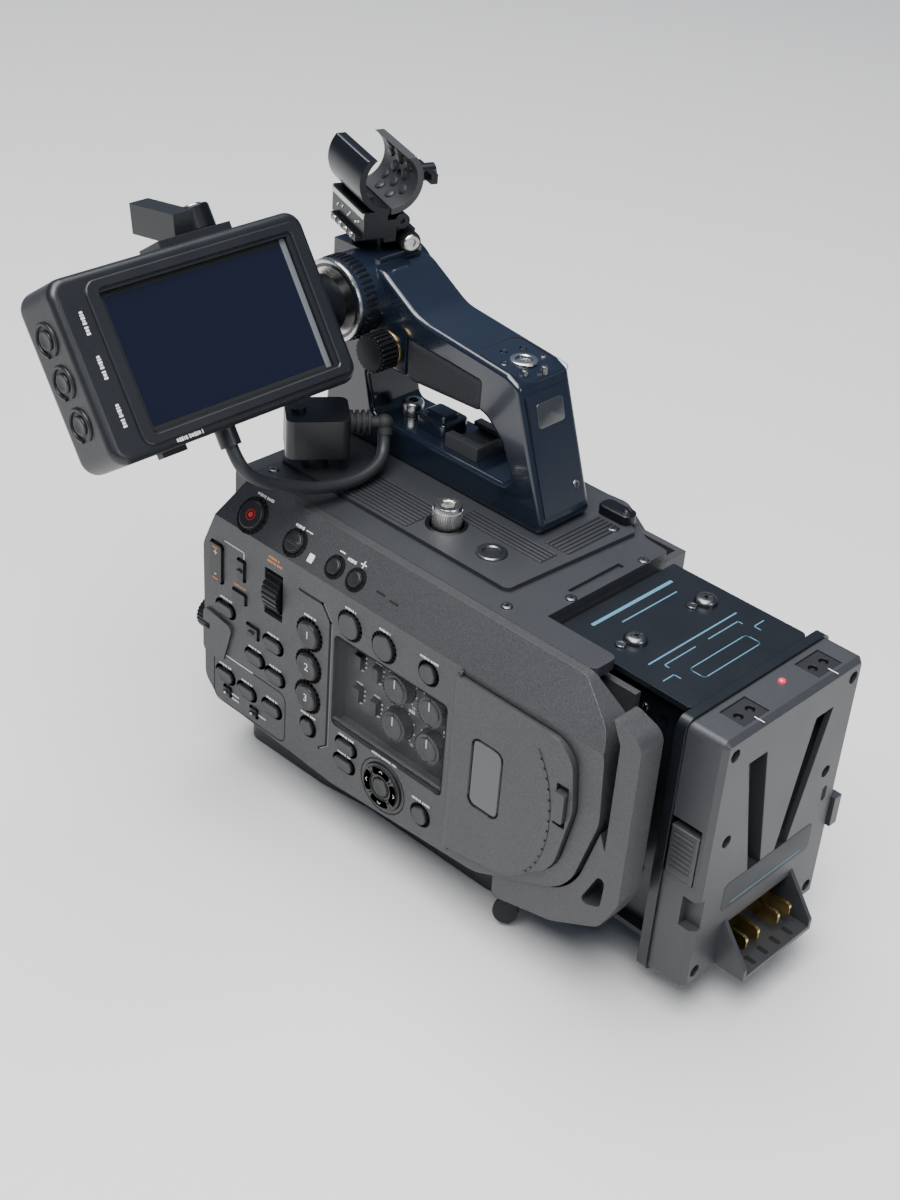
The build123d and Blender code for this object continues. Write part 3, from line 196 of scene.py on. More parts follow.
PANEL_GREY = Finish("panel satin grey", (0.052, 0.053, 0.055), 0.40, 0.35, 0.45, 0.45, 0.22)
# Painted highlight: light grey for the lit edge of the step by the assignable keys.
EDGE_HIGHLIGHT_GREY = Finish("painted edge highlight grey", (0.13, 0.13, 0.135), 0.45, 0.2, soften=0.0)
KEY_GREY = Finish("key dark grey", (0.030, 0.031, 0.033), 0.42, 0.1, 0.2, 0.45, 0.1)
KEY_BLACK = Finish("key soft black", (0.012, 0.0125, 0.014), 0.38, 0.0, 0.12, 0.5)
DECK_PAINT = Finish("deck crackle paint", (0.030, 0.032, 0.036), 0.40, 0.2, 0.45, 0.45, 0.15)
# Painted shade for the grooves between the deck's ribs.
GROOVE_SHADE = Finish("painted groove shade", (0.006, 0.006, 0.007), 0.50, 0.0, 0.20, 0.5)
HANDLE_PAINT = Finish("handle blue black enamel", (0.007, 0.011, 0.020), 0.20, 0.0, 0.05, 0.8, coat=0.6)
CRADLE_GREY = Finish("cradle moulded grey", (0.028, 0.029, 0.031), 0.5, 0.0, 0.15, 0.5)
GRIP_RUBBER = Finish("pebbled grip rubber", (0.010, 0.011, 0.014), 0.62, 0.0, 0.9, 0.9)
MONITOR_SHELL = Finish("monitor satin black", (0.010, 0.011, 0.013), 0.34, 0.0, 0.25, 0.5)
MONITOR_GLASS = Finish("coated screen glass", (0.004, 0.005, 0.013), 0.06, 0.0, coat=1.0, soften=0.0)
# Painted highlight: light grey for the lit inner rim at the right of the screen glass.
RIM_HIGHLIGHT = Finish("painted rim highlight", (0.10, 0.11, 0.12), 0.5, 0.0, 0.1)
BLACK_METAL = Finish("black anodised metal", (0.012, 0.013, 0.016), 0.28, 0.6, 0.05, 0.8)
RUBBER = Finish("soft black rubber", (0.012, 0.012, 0.013), 0.68, 0.0, 0.4, 0.5)
CABLE_JACKET = Finish("cable jacket", (0.011, 0.013, 0.015), 0.48, 0.0, 0.12, 0.5)
STEEL = Finish("bright machined steel", (0.62, 0.61, 0.58), 0.24, 1.0, 0.10, 0.25, brushed=True, soften=0.15)
DARK_STEEL = Finish("dark fastener steel", (0.16, 0.165, 0.17), 0.30, 1.0, 0.08, 0.3, soften=0.1)
CAST_GREY = Finish("cast dark alloy", (0.060, 0.062, 0.066), 0.42, 0.5, 0.35, 0.5, 0.1)
GOLD = Finish("gold plated contact", (0.85, 0.60, 0.22), 0.20, 1.0, 0.03, 0.4, soften=0.1)
BATTERY_SHELL = Finish("battery plate grey black", (0.036, 0.038, 0.042), 0.38, 0.1, 0.35, 0.45, 0.08)
ADAPTER_PAINT = Finish("adapter navy anodising", (0.007, 0.009, 0.012), 0.30, 0.1, 0.12, 0.4)
LABEL_GREY = Finish("matt label grey", (0.022, 0.026, 0.030), 0.55, 0.0, 0.10, 0.4)
PRINT_WHITE = Finish("white printing", (0.62, 0.63, 0.62), 0.6, soften=0.0)
PRINT_BLUE = Finish("pale blue printing", (0.07, 0.19, 0.27), 0.55, soften=0.0)
PRINT_ORANGE = Finish("orange printing", (0.62, 0.21, 0.04), 0.55, soften=0.0)
PRINT_RED = Finish("red printing", (0.50, 0.03, 0.02), 0.5, soften=0.0)
LAMP_RED = Finish("red lamp lens", (0.60, 0.03, 0.05), 0.2, glow=0.6, coat=1.0, soften=0.0)
CLEAR_COVER = Finish("clear moulded cover", (0.10, 0.11, 0.12), 0.10, 0.0, clear=0.93, soften=0.0)
SMOKED_WINDOW = Finish("smoked window", (0.030, 0.032, 0.035), 0.14, 0.0, coat=0.6, soften=0.0)
BOARD_GREEN = Finish("solder masked board", (0.010, 0.070, 0.030), 0.35, 0.0, 0.2, 0.6, 0.2)
SENSOR_GLASS = Finish("sensor cover glass", (0.03, 0.02, 0.06), 0.05, 0.0, coat=1.0, soften=0.0)
# Flat black that paints the shade in each seam, groove, slot, vent and hole that is not cut; it also colours
# the mask round the sensor.
PAINTED_SHADE = Finish("painted shade in hollows", (0.004, 0.004, 0.004), 0.9, soften=0.0)


# ---------------------------------------------------------------- making meshes
Ring = list[Vector]
Points = list[tuple[float, float]]
Mesh = bmesh.types.BMesh


class Recess(Enum):
    """Drive in the top of a screw."""

    NONE = "none"
    HEX = "hex"
    CROSS = "cross"


def outline(w: float, h: float, r: float, steps: int = 6) -> Points:
    """Rounded rectangle about the origin.

    Args:
        w: Width.
        h: Height.
        r: Corner radius.
        steps: Segments in each corner.

    Returns:
        Points, anticlockwise.
    """
    r = max(0.01, min(r, w / 2 - 0.005, h / 2 - 0.005))
    points = []
    for corner, (sx, sy) in enumerate(((1, 1), (-1, 1), (-1, -1), (1, -1))):
        for k in range(steps + 1):
            a = math.radians(90 * corner + 90 * k / steps)
            points.append((sx * (w / 2 - r) + r * math.cos(a), sy * (h / 2 - r) + r * math.sin(a)))
    return points


def loft(rings: list[Ring]) -> Mesh:
    """Skins a closed shape through rings of equal point count and caps both ends.

    Args:
        rings: The rings, in order.

    Returns:
        The mesh, with faces turned outwards.
    """
    bm = bmesh.new()
    rows = [[bm.verts.new(p) for p in ring] for ring in rings]
    count = len(rings[0])
    for one, two in zip(rows, rows[1:]):
        for k in range(count):
            bm.faces.new((one[k], one[(k + 1) % count], two[(k + 1) % count], two[k]))
    bm.faces.new(reversed(rows[0]))
    bm.faces.new(rows[-1])
    bmesh.ops.recalc_face_normals(bm, faces=bm.faces)
    return bm


def pad(w: float, h: float, r: float, t: float, edge: float = 0.4, dish: float = 0.0) -> Mesh:
    """Rounded key or plate standing t above its seat, with a rounded rim and an optional dish.

    Args:
        w: Width.
        h: Height.
        r: Corner radius.
        t: Height above the seat.
        edge: Radius of the rim.
        dish: Depth of the hollow in the top.

    Returns:
        The mesh.
    """
    levels = [(0.0, -0.3), (0.0, t - edge)]
    levels += [(edge * (1 - math.cos(a)), t - edge + edge * math.sin(a)) for a in (0.52, 1.05, 1.57)]
    if dish:
        inset = min(w, h) / 2 - edge
        levels += [(edge + inset * 0.25, t - dish * 0.5), (edge + inset * 0.6, t - dish)]
    rings = [[Vector((x, y, z)) for x, y in outline(w - 2 * d, h - 2 * d, r - d)] for d, z in levels]
    return loft(rings)


def turned(profile: Points, segments: int = 40, recess: Recess = Recess.NONE,
           recess_r: float = 0.0) -> Mesh:
    """Turns a profile of (radius, height) about Z.

    Args:
        profile: Radii and heights, from the bottom up.
        segments: Sides of the turned piece.
        recess: Drive shape of the points inside recess_r.
        recess_r: Radius that the drive reaches.

    Returns:
        The mesh.
    """
    rings = []
    for r, z in profile:
        ring = []
        for k in range(segments):
            a = 2 * math.pi * k / segments
            f = 1.0
            if r <= recess_r + 1e-6:
                if recess is Recess.HEX:
                    f = math.cos(math.pi / 6) / math.cos((a % (math.pi / 3)) - math.pi / 6)
                elif recess is Recess.CROSS:
                    f = 0.28 + 0.72 * abs(math.cos(2 * a)) ** 5
            ring.append(Vector((r * f * math.cos(a), r * f * math.sin(a), z)))
        rings.append(ring)
    return loft(rings)


def socket_screw(r: float, h: float) -> Mesh:
    """Cap screw head with a hex socket."""
    return turned([(r, -0.2), (r, h - 0.25 * r), (r * 0.93, h - 0.08 * r), (r * 0.82, h), (r * 0.52, h),
                   (r * 0.50, h - 0.05), (r * 0.50, h - 0.6 * r)], 36, Recess.HEX, r * 0.5)


def cross_screw(r: float, h: float) -> Mesh:
    """Pan head screw with a cross drive."""
    return turned([(r, -0.2), (r, h * 0.35), (r * 0.92, h * 0.72), (r * 0.75, h * 0.93), (r * 0.56, h),
                   (r * 0.55, h), (r * 0.40, h - 0.45 * r)], 40, Recess.CROSS, r * 0.55)


def dome(r: float, h: float, segments: int = 20) -> Mesh:
    """Low rounded button."""
    return turned([(r, -0.2), (r, h * 0.2), (r * 0.92, h * 0.6), (r * 0.7, h * 0.88), (r * 0.35, h),
                   (r * 0.05, h)], segments)


def rim(outer: tuple[float, float, float], inner: tuple[float, float, float], t: float,
        edge: float = 0.3) -> Mesh:
    """Flat rounded frame.

    Args:
        outer: Width, height and corner radius outside.
        inner: Width, height and corner radius of the opening.
        t: Height above the seat.
        edge: Size of the chamfers.

    Returns:
        The mesh.
    """
    (w, h, r), (a, b, c) = outer, inner
    shape = ((w, h, r, -0.2), (w, h, r, t - edge), (w - 2 * edge, h - 2 * edge, r - edge, t),
             (a + 2 * edge, b + 2 * edge, c + edge, t), (a, b, c, t - edge), (a, b, c, -0.2))
    bm = bmesh.new()
    rows = [[bm.verts.new((x, y, z)) for x, y in outline(p, q, s, 8)] for p, q, s, z in shape]
    for one, two in zip(rows, rows[1:] + rows[:1]):
        for k in range(len(one)):
            bm.faces.new((one[k], one[(k + 1) % len(one)], two[(k + 1) % len(one)], two[k]))
    bmesh.ops.recalc_face_normals(bm, faces=bm.faces)
    return bm


def bar(length: float, w: float, h: float, edge: float = 0.2) -> Mesh:
    """Straight raised bar along local X with chamfered edges."""
    return pad(length, w, min(w, length) * 0.3, h, edge)


def tube(points: list[Vector], r: float, segments: int = 14) -> Mesh:
    """Round tube with mitred joints.

    Args:
        points: The line that it follows.
        r: Its radius.
        segments: Sides of the tube.

    Returns:
        The mesh.
    """
    rings = []
    off_line = Vector((0.13, 0.31, 0.94))
    for k, p in enumerate(points):
        a = points[max(0, k - 1)]
        b = points[min(len(points) - 1, k + 1)]
        along = (b - a).normalized()
        side = along.cross(off_line).normalized()
        top = side.cross(along)
        rings.append([p + r * (c * side + d * top) for c, d in compass(segments)])
    return loft(rings)


def as_mesh(name: str, bm: Mesh) -> bpy.types.Mesh:
    """Writes a mesh out under a name.

    Args:
        name: Name of the result.
        bm: The mesh, which is used up.

    Returns:
        The mesh as Blender's data.
    """
    mesh = bpy.data.meshes.new(name)
    bm.to_mesh(mesh)
    bm.free()
    return mesh


def show(name: str, data: bpy.types.ID) -> bpy.types.Object:
    """Puts new data into the scene.

    Args:
        name: Name of the object.
        data: Its mesh, curve, lamp or camera.

    Returns:
        The object.
    """
    made = bpy.data.objects.new(name, data)
    bpy.context.scene.collection.objects.link(made)
    return made


def evaluated(made: bpy.types.Object) -> bpy.types.Mesh:
    """Plain mesh of an object with its modifiers applied."""
    bpy.context.view_layer.update()
    return bpy.data.meshes.new_from_object(made.evaluated_get(bpy.context.evaluated_depsgraph_get()))


def merge(parts: list[tuple[Mesh, Matrix]]) -> Mesh:
    """Puts several meshes into one.

    Args:
        parts: Each mesh, which is used up, and its place.

    Returns:
        The whole mesh.
    """
    whole = bmesh.new()
    for bm, place in parts:
        bm.transform(place)
        mesh = as_mesh("part", bm)
        whole.from_mesh(mesh)
        bpy.data.meshes.remove(mesh)
    return whole


def shade(bm: Mesh) -> None:
    """Smooths a mesh and keeps its sharp edges.

    Args:
        bm: The mesh, which is changed.
    """
    for f in bm.faces:
        f.smooth = True
    for e in bm.edges:
        e.smooth = len(e.link_faces) == 2 and e.calc_face_angle(0) < math.radians(SMOOTH_ANGLE)


def piece(name: str, bm: Mesh, finish: Finish, body: str = ROOT, place: Matrix = Matrix()) -> None:
    """Makes a finished piece that rides on a body.

    Args:
        name: Name of the piece.
        bm: Its mesh in millimetres, which is used up.
        finish: Its finish.
        body: The CAD body that it moves with.
        place: Where the mesh goes in the row's frame.
    """
    bm.transform(Matrix.Scale(MM, 4) @ place)
    shade(bm)
    mesh = as_mesh(name, bm)
    mesh.materials.append(finish.material())
    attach(show(name, mesh), body)
    log.info("piece %s on %s", name, body)


def paint(finish: Finish, *nodes: str) -> None:
    """Gives CAD nodes their finish.

    Args:
        finish: The finish.
        nodes: Names of the nodes.
    """
    for node in nodes:
        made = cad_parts[node]
        made.data.materials.clear()
        made.data.materials.append(finish.material())


def ribbon(points: Points, width: float, height: float = PRINT_T) -> Mesh:
    """Printed line on a flat face: thin bars from point to point, in local XY.

    Args:
        points: The line's corners.
        width: Its width.
        height: Its thickness.

    Returns:
        The mesh.
    """
    parts = []
    for (x0, y0), (x1, y1) in zip(points, points[1:]):
        length = math.hypot(x1 - x0, y1 - y0) + width * 0.9
        turn = Matrix.Rotation(math.atan2(y1 - y0, x1 - x0), 4, "Z")
        spot = Matrix.Translation(((x0 + x1) / 2, (y0 + y1) / 2, 0))
        parts.append((block(length, width, width * 0.2, height), spot @ turn))
    return merge(parts)


def block(w: float, h: float, r: float, t: float) -> Mesh:
    """Thin printed rectangle with cut corners, in local XY."""
    return loft([[Vector((x, y, z)) for x, y in outline(w, h, r, 1)] for z in (PRINT_SUNK, t)])


def legend(width: float, height: float = 1.1) -> Mesh:
    """Row of small printed blocks that stands for a label without spelling anything.

    Args:
        width: Length of the row.
        height: Height of the tall blocks.

    Returns:
        The mesh.
    """
    widths = (0.85, 0.6, 0.95, 0.55, 0.8, 0.7, 1.0)
    gap, wide_gap, least, low = 0.28, 0.75, 0.3, 0.82
    parts = []
    x, k = -width / 2, 0
    while x < width / 2 - least:
        w = min(widths[k % len(widths)], width / 2 - x)
        h = height * (1.0 if k % 3 else low)
        parts.append((block(w, h, 0.12, PRINT_T), Matrix.Translation((x + w / 2, 0, 0))))
        x += w + (wide_gap if k % 5 == 4 else gap)
        k += 1
    return merge(parts)


def seam_line(w: float, h: float, r: float, width: float, height: float = PRINT_T, steps: int = 5) -> Mesh:
    """Closed line along a rounded rectangle.

    Args:
        w: Width of the rectangle.
        h: Its height.
        r: Its corner radius.
        width: Width of the line.
        height: Thickness of the line.
        steps: Segments in each corner.

    Returns:
        The mesh.
    """
    edge = outline(w, h, r, steps)
    return ribbon(edge + edge[:1], width, height)


def groove_round(w: float, h: float, r: float, width: float = 0.55) -> Mesh:
    """Painted shade line in the seam round a key of width w, height h and corner radius r, drawn outside it.
    """
    return seam_line(w + width, h + width, r + width / 2, width, 0.035)


def hoop(r: float, width: float, height: float = PRINT_T, start: float = 0.0, end: float = 360.0) -> Mesh:
    """Printed ring or arc of a line on a flat face.

    Args:
        r: Radius of the line's middle.
        width: Width of the line.
        height: Its thickness.
        start: Where the arc starts, in degrees.
        end: Where it ends.

    Returns:
        The mesh.
    """
    steps = max(6, int((end - start) / 10))
    angles = [math.radians(start + (end - start) * k / steps) for k in range(steps + 1)]
    return ribbon([(r * math.cos(a), r * math.sin(a)) for a in angles], width, height)


def compass(count: int, start: float = 0.0, step: float = 0.0) -> Points:
    """Directions about an axis.

    Args:
        count: How many.
        start: The first one's angle, in degrees.
        step: Angle between them, or 0 to spread them evenly.

    Returns:
        The cosine and sine of each.
    """
    angles = [math.radians(start + k * (step or 360.0 / count)) for k in range(count)]
    return [(math.cos(a), math.sin(a)) for a in angles]


def figure(text: str, size: float) -> Mesh:
    """Plain number or sign for printing, centred, in local XY.

    Args:
        text: The number or sign.
        size: Its height.

    Returns:
        The mesh.
    """
    half = PRINT_T / 2
    curve = bpy.data.curves.new("figure", "FONT")
    curve.body = text
    curve.size = size
    curve.align_x = curve.align_y = "CENTER"
    curve.extrude = half
    made = show("figure", curve)
    mesh = evaluated(made)
    bm = bmesh.new()
    bm.from_mesh(mesh)
    bmesh.ops.translate(bm, verts=bm.verts, vec=(0, 0, half))
    bpy.data.objects.remove(made)
    bpy.data.curves.remove(curve)
    bpy.data.meshes.remove(mesh)
    return bm


def pose(at: Vector, x: Vector, z: Vector) -> Matrix:
    """Place with its own directions.

    Args:
        at: The origin.
        x: Rough direction of local X.
        z: Direction of local Z, out of the face.

    Returns:
        The place.
    """
    z = z.normalized()
    x = (x - x.dot(z) * z).normalized()
    y = z.cross(x)
    return Matrix(((x.x, y.x, z.x, at.x), (x.y, y.y, z.y, at.y), (x.z, y.z, z.z, at.z), (0, 0, 0, 1)))


def on_panel(x: float, z: float, out: float = 0.0) -> Matrix:
    """Place on the operator panel: local X to the rear, local Y up."""
    return pose(Vector((x, PANEL_Y - out, z)), TO_REAR, -TO_RIGHT)


def on_band(x: float, rise: float, out: float = 0.0) -> Matrix:
    """Place on the sloped band, rise millimetres above the fold."""
    return pose(Vector((x, PANEL_Y, FOLD_Z)) + BAND_UP * rise + BAND_OUT * out, TO_REAR, BAND_OUT)


def on_top(x: float, y: float, z: float = PAD_Z) -> Matrix:
    """Place on a level face: local X to the rear, local Y to the right of the camera."""
    return Matrix.Translation((x, y, z))


def on_plate(y: float, z: float, x: float = PLATE_X) -> Matrix:
    """Place on the battery plate: local X to +Y, local Y up, facing the rear."""
    return pose(Vector((x, y, z)), TO_RIGHT, TO_REAR)


def on_screen(u: float, v: float, w: float = 0.0) -> Matrix:
    """Place in the monitor: local X across, local Y up the screen, local Z out of it.

    Args:
        u: Distance across from the screen's centre.
        v: Distance up the screen.
        w: Distance out of it.

    Returns:
        The place.
    """
    normal = Vector((math.cos(SCREEN_TILT), 0, math.sin(SCREEN_TILT)))
    up = Vector((-math.sin(SCREEN_TILT), 0, math.cos(SCREEN_TILT)))
    return pose(SCREEN_AT + Vector((0, u, 0)) + up * v + normal * w, TO_RIGHT, normal)


def on_left(x: float, z: float, y: float = HANDLE_Y0) -> Matrix:
    """Place on a face that looks to -Y."""
    return pose(Vector((x, y, z)), TO_REAR, -TO_RIGHT)


def on_right(x: float, z: float, y: float = HANDLE_Y1) -> Matrix:
    """Place on a face that looks to +Y."""
    return pose(Vector((x, y, z)), -TO_REAR, TO_RIGHT)


def on_front(y: float, z: float, x: float) -> Matrix:
    """Place on a face that looks to -X."""
    return pose(Vector((x, y, z)), TO_RIGHT, -TO_REAR)


# ---------------------------------------------------------------- what repeats
class Repeater:
    """Sets copies of one small piece on many spots with Geometry Nodes."""

    def __init__(self) -> None:
        """Builds the tree once, with named inputs."""
        tree = bpy.data.node_groups.new("copies on spots", "GeometryNodeTree")
        face = tree.interface
        for name, kind in (("Spots", "Geometry"), ("Pattern", "Object"), ("Size", "Float"),
                           ("Loose turn", "Float"), ("Finish", "Material")):
            face.new_socket(name=name, in_out="INPUT", socket_type="NodeSocket" + kind)
        face.new_socket(name="Geometry", in_out="OUTPUT", socket_type="NodeSocketGeometry")
        new, link = tree.nodes.new, tree.links.new
        start, end = new("NodeGroupInput"), new("NodeGroupOutput")
        pattern = new("GeometryNodeObjectInfo")
        turn = new("GeometryNodeInputNamedAttribute")
        turn.data_type = "FLOAT_VECTOR"
        turn.inputs["Name"].default_value = "turn"
        to_turn = new("FunctionNodeEulerToRotation")
        set_out = new("GeometryNodeInstanceOnPoints")
        chance = new("FunctionNodeRandomValue")
        chance.data_type = "FLOAT"
        chance.inputs["Seed"].default_value = REPEAT_SEED
        spin = new("ShaderNodeCombineXYZ")
        loosen = new("GeometryNodeRotateInstances")
        loosen.inputs["Local Space"].default_value = True
        real, dress = new("GeometryNodeRealizeInstances"), new("GeometryNodeSetMaterial")
        link(start.outputs["Pattern"], pattern.inputs["Object"])
        link(start.outputs["Spots"], set_out.inputs["Points"])
        link(pattern.outputs["Geometry"], set_out.inputs["Instance"])
        link(turn.outputs["Attribute"], to_turn.inputs["Euler"])
        link(to_turn.outputs["Rotation"], set_out.inputs["Rotation"])
        link(start.outputs["Size"], set_out.inputs["Scale"])
        link(start.outputs["Loose turn"], chance.inputs[3])
        link(chance.outputs[1], spin.inputs["Z"])
        link(spin.outputs["Vector"], loosen.inputs["Rotation"])
        link(set_out.outputs["Instances"], loosen.inputs["Instances"])
        link(loosen.outputs["Instances"], real.inputs["Geometry"])
        link(real.outputs["Geometry"], dress.inputs["Geometry"])
        link(start.outputs["Finish"], dress.inputs["Material"])
        link(dress.outputs["Geometry"], end.inputs["Geometry"])
        self.tree = tree
        self.sockets = {item.name: item.identifier for item in face.items_tree if item.in_out == "INPUT"}

    def copies(self, name: str, pattern: Mesh, spots: list[Matrix], finish: Finish, body: str = ROOT,
               loose: float = 0.0) -> None:
        """Sets the pattern on each spot and turns the result into a plain mesh.

        Args:
            name: Name of the piece.
            pattern: The small piece, in millimetres, which is used up.
            spots: Where each copy goes, in millimetres.
            finish: Finish of the copies.
            body: The CAD body that they move with.
            loose: Largest random turn about each spot's own Z, in radians.
        """
        pattern.transform(Matrix.Scale(MM, 4))
        shade(pattern)
        single = show(name + " pattern", as_mesh(name + " pattern", pattern))
        host_mesh = bpy.data.meshes.new(name + " spots")
        host_mesh.from_pydata([m.translation * MM for m in spots], [], [])
        turns = host_mesh.attributes.new("turn", "FLOAT_VECTOR", "POINT")
        for k, m in enumerate(spots):
            turns.data[k].vector = m.to_euler()
        host = show(name + " spots", host_mesh)
        modifier = host.modifiers.new("copies", "NODES")
        modifier.node_group = self.tree
        values = {"Pattern": single, "Size": 1.0, "Loose turn": loose, "Finish": finish.material()}
        for socket, value in values.items():
            modifier[self.sockets[socket]] = value
        mesh = evaluated(host)
        host.modifiers.remove(modifier)
        for made in (single, host):
            bpy.data.objects.remove(made)
        mesh.name = name
        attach(show(name, mesh), body)
        log.info("piece %s: %d copies on %s", name, len(spots), body)


REPEAT = Repeater()


# ---------------------------------------------------------------- operator panel
@dataclass
class OperatorPanel:
    """Keys, dials, legends, and painted shade in each seam of the left cover."""

    oval_keys: list[tuple[float, float]] = field(default_factory=lambda: [
        (-97.5, 78.9), (-67.3, 76.5), (-78.5, 63.9), (-65.7, 61.2), (-97.5, 44.9), (-83.5, 43.8),
        (-67.4, 43.9), (-21.8, 50.5), (-22.5, 41.5)])
    round_keys: list[tuple[float, float, float]] = field(default_factory=lambda: [
        (-44.8, 47.5, 3.6), (-22.7, 109.2, 5.4), (-3.6, 109.2, 5.4), (20.5, 110.2, 4.0), (21.6, 42.3, 4.0)])
    slide_keys: tuple[tuple[float, float], ...] = ((-96.0, 37.2), (-78.7, 35.6), (-87.5, 103.0),
                                                   (-80.0, 76.5))
    levels: tuple[tuple[float, float], ...] = ((1.0, 90.4), (20.0, 90.4), (1.0, 72.6), (20.0, 72.6))
    pocket_keys: tuple[tuple[float, float], ...] = ((-22.5, 90.0), (-12.5, 89.0), (-22.5, 74.0),
                                                    (-12.5, 73.0))
    assign_x: float = -45.5
    assign_z: tuple[float, ...] = (93.2, 77.7, 62.4)
    record_at: tuple[float, float] = (-86.3, 7.5)
    hold_at: tuple[float, float] = (-60.3, 7.0)
    minus_at: tuple[float, float] = (-37.0, 7.0)
    plus_at: tuple[float, float] = (-25.1, 7.0)
    rocker_at: tuple[float, float] = (-103.0, 99.5)
    menu_at: tuple[float, float] = (0.0, 43.5)
    proud: float = 1.0
    pocket_depth: float = 7.0
    door_in: float = 2.5

    def build(self) -> None:
        """Dresses the cover, its keys and its printing."""
        paint(PANEL_GREY, "left_cover", "media_door", "door_latch")
        paint(KEY_BLACK, "panel_keys", "rec_button", "hold_switch", "volume_minus", "volume_plus",
              "menu_button", "menu_ring", "nd_rocker", *(f"assign_button_{k}" for k in (1, 2, 3)),
              *(f"audio_dial_{k}" for k in (1, 2, 3, 4)))
        paint(BLACK_METAL, "nd_dial", "front_dial")
        paint(CLEAR_COVER, "audio_cover")
        paint(SMOKED_WINDOW, "door_window")
        self.build_keys()
        self.build_recesses()
        self.build_legends()
        self.build_levels()
        self.build_band()
        self.build_door()

    def build_keys(self) -> None:
        """Domed caps on the flat keys, and painted shade in the seam round each."""
        REPEAT.copies("oval_key_caps", pad(10.0, 4.7, 2.35, 0.3, 0.22, 0.1),
                      [on_panel(x, z, self.proud) for x, z in self.oval_keys], KEY_GREY)
        # Painted shade in the seam round each oval key.
        REPEAT.copies("oval_key_seams", groove_round(10.7, 5.4, 2.7, 1.3),
                      [on_panel(x, z) for x, z in self.oval_keys], PAINTED_SHADE)
        # Painted shade in the seam round each round, assignable and band key.
        seam_shades = [(groove_round(2 * r + 0.4, 2 * r + 0.4, r, 1.3), on_panel(x, z))
                 for x, z, r in self.round_keys]
        seam_shades += [(groove_round(12.4, 12.4, 6.2, 1.6), on_panel(self.assign_x, z)) for z in self.assign_z]
        seam_shades += [(groove_round(2 * r + 0.4, 2 * r + 0.4, r, 1.6), on_band(*at)) for at, r in
                  ((self.record_at, 6.2), (self.hold_at, 4.4), (self.minus_at, 3.2), (self.plus_at, 3.2))]
        piece("round_key_seams", merge(seam_shades), PAINTED_SHADE)
        for number, (x, z, r) in enumerate(self.round_keys, 1):
            piece(f"round_key_cap_{number}", pad(2 * r - 0.5, 2 * r - 0.5, r, 0.3, 0.22, 0.12), KEY_GREY,
                  place=on_panel(x, z, self.proud))
        for number, z in enumerate(self.assign_z, 1):
            body = f"assign_key_{number}"
            piece(f"assign_cap_{number}", pad(11.4, 11.4, 5.7, 0.8, 0.5, 0.35), KEY_BLACK, body,
                  on_panel(self.assign_x, z, self.proud))
            piece(f"assign_number_{number}", figure(str(number), 5.0), PRINT_WHITE, body,
                  on_panel(self.assign_x, z, self.proud + 0.46))
        piece("record_cap", pad(11.6, 11.6, 5.8, 0.8, 0.5, 0.4), KEY_BLACK, "rec_key",
              on_band(*self.record_at, self.proud))
        piece("record_mark", merge([(hoop(2.2, 0.5), Matrix()), (pad(2.2, 2.2, 1.1, 0.07, 0.02), Matrix())]),
              PRINT_RED, "rec_key", on_band(*self.record_at, self.proud + 0.42))
        piece("hold_lever", merge([(pad(7.8, 7.8, 3.9, 0.6, 0.4), Matrix()),
                                   (bar(6.0, 1.6, 1.1, 0.3), Matrix())]),
              KEY_BLACK, "hold_key", on_band(*self.hold_at, self.proud))
        for side, at, body in (("minus", self.minus_at, "volume_down_key"),
                               ("plus", self.plus_at, "volume_up_key")):
            piece(f"volume_{side}_cap", pad(5.8, 5.8, 2.9, 0.6, 0.4, 0.15), KEY_BLACK, body,
                  on_band(*at, self.proud))
        self.build_menu()

    def build_menu(self) -> None:
        """Segments and arrows of the menu ring, and the cap in its middle."""
        parts = [(hoop(7.6, 3.4, 0.5, 90 * k + 10, 90 * k + 80), Matrix.Rotation(math.pi / 4, 4, "Z"))
                 for k in range(4)]
        piece("menu_ring_segments", merge(parts), KEY_GREY, "menu_ring_key",
              on_panel(*self.menu_at, self.proud))
        arrows = [(ribbon([(-0.8, -0.4), (0, 0.4), (0.8, -0.4)], 0.3),
                   Matrix.Rotation(k * math.pi / 2, 4, "Z") @ Matrix.Translation((0, 7.9, 0)))
                  for k in range(4)]
        piece("menu_arrows", merge(arrows), PRINT_WHITE, "menu_ring_key",
              on_panel(*self.menu_at, self.proud + 0.52))
        piece("menu_cap", pad(8.0, 8.0, 4.0, 0.6, 0.4, 0.3), KEY_BLACK, "menu_key",
              on_panel(*self.menu_at, self.proud))

    def build_recesses(self) -> None:
        """Painted shade in the seam round each group of keys and in the slot of each switch, ridges of the
        slide switches, and painted shadow and highlight along the step by the assignable keys.
        """
        fields = {"focus_field": (-82.0, 42.5, 46.0, 25.0, 4.0),
                  "menu_field": (*self.menu_at, 25.0, 25.0, 12.5)}
        for name, (x, z, w, h, r) in fields.items():
            # Painted shade line along the seam of each field.
            piece(f"{name}_seam", seam_line(w, h, r, 0.55, 0.03), PAINTED_SHADE, place=on_panel(x, z))
        piece("slide_switch_ridges", merge([(bar(3.0, 1.2, 0.8, 0.2), on_panel(x, z, self.proud))
                                            for x, z in self.slide_keys]), KEY_BLACK)
        piece("switch_dots", merge([(pad(1.2, 1.2, 0.6, 0.08, 0.02), on_panel(x, z, self.proud + 0.8))
                                    for x, z in self.slide_keys[:2]]), PRINT_WHITE)
        step = [(-52.0, 111.5), (-38.5, 111.5), (-33.6, 105.0), (-33.6, 44.0), (-38.0, 40.5)]
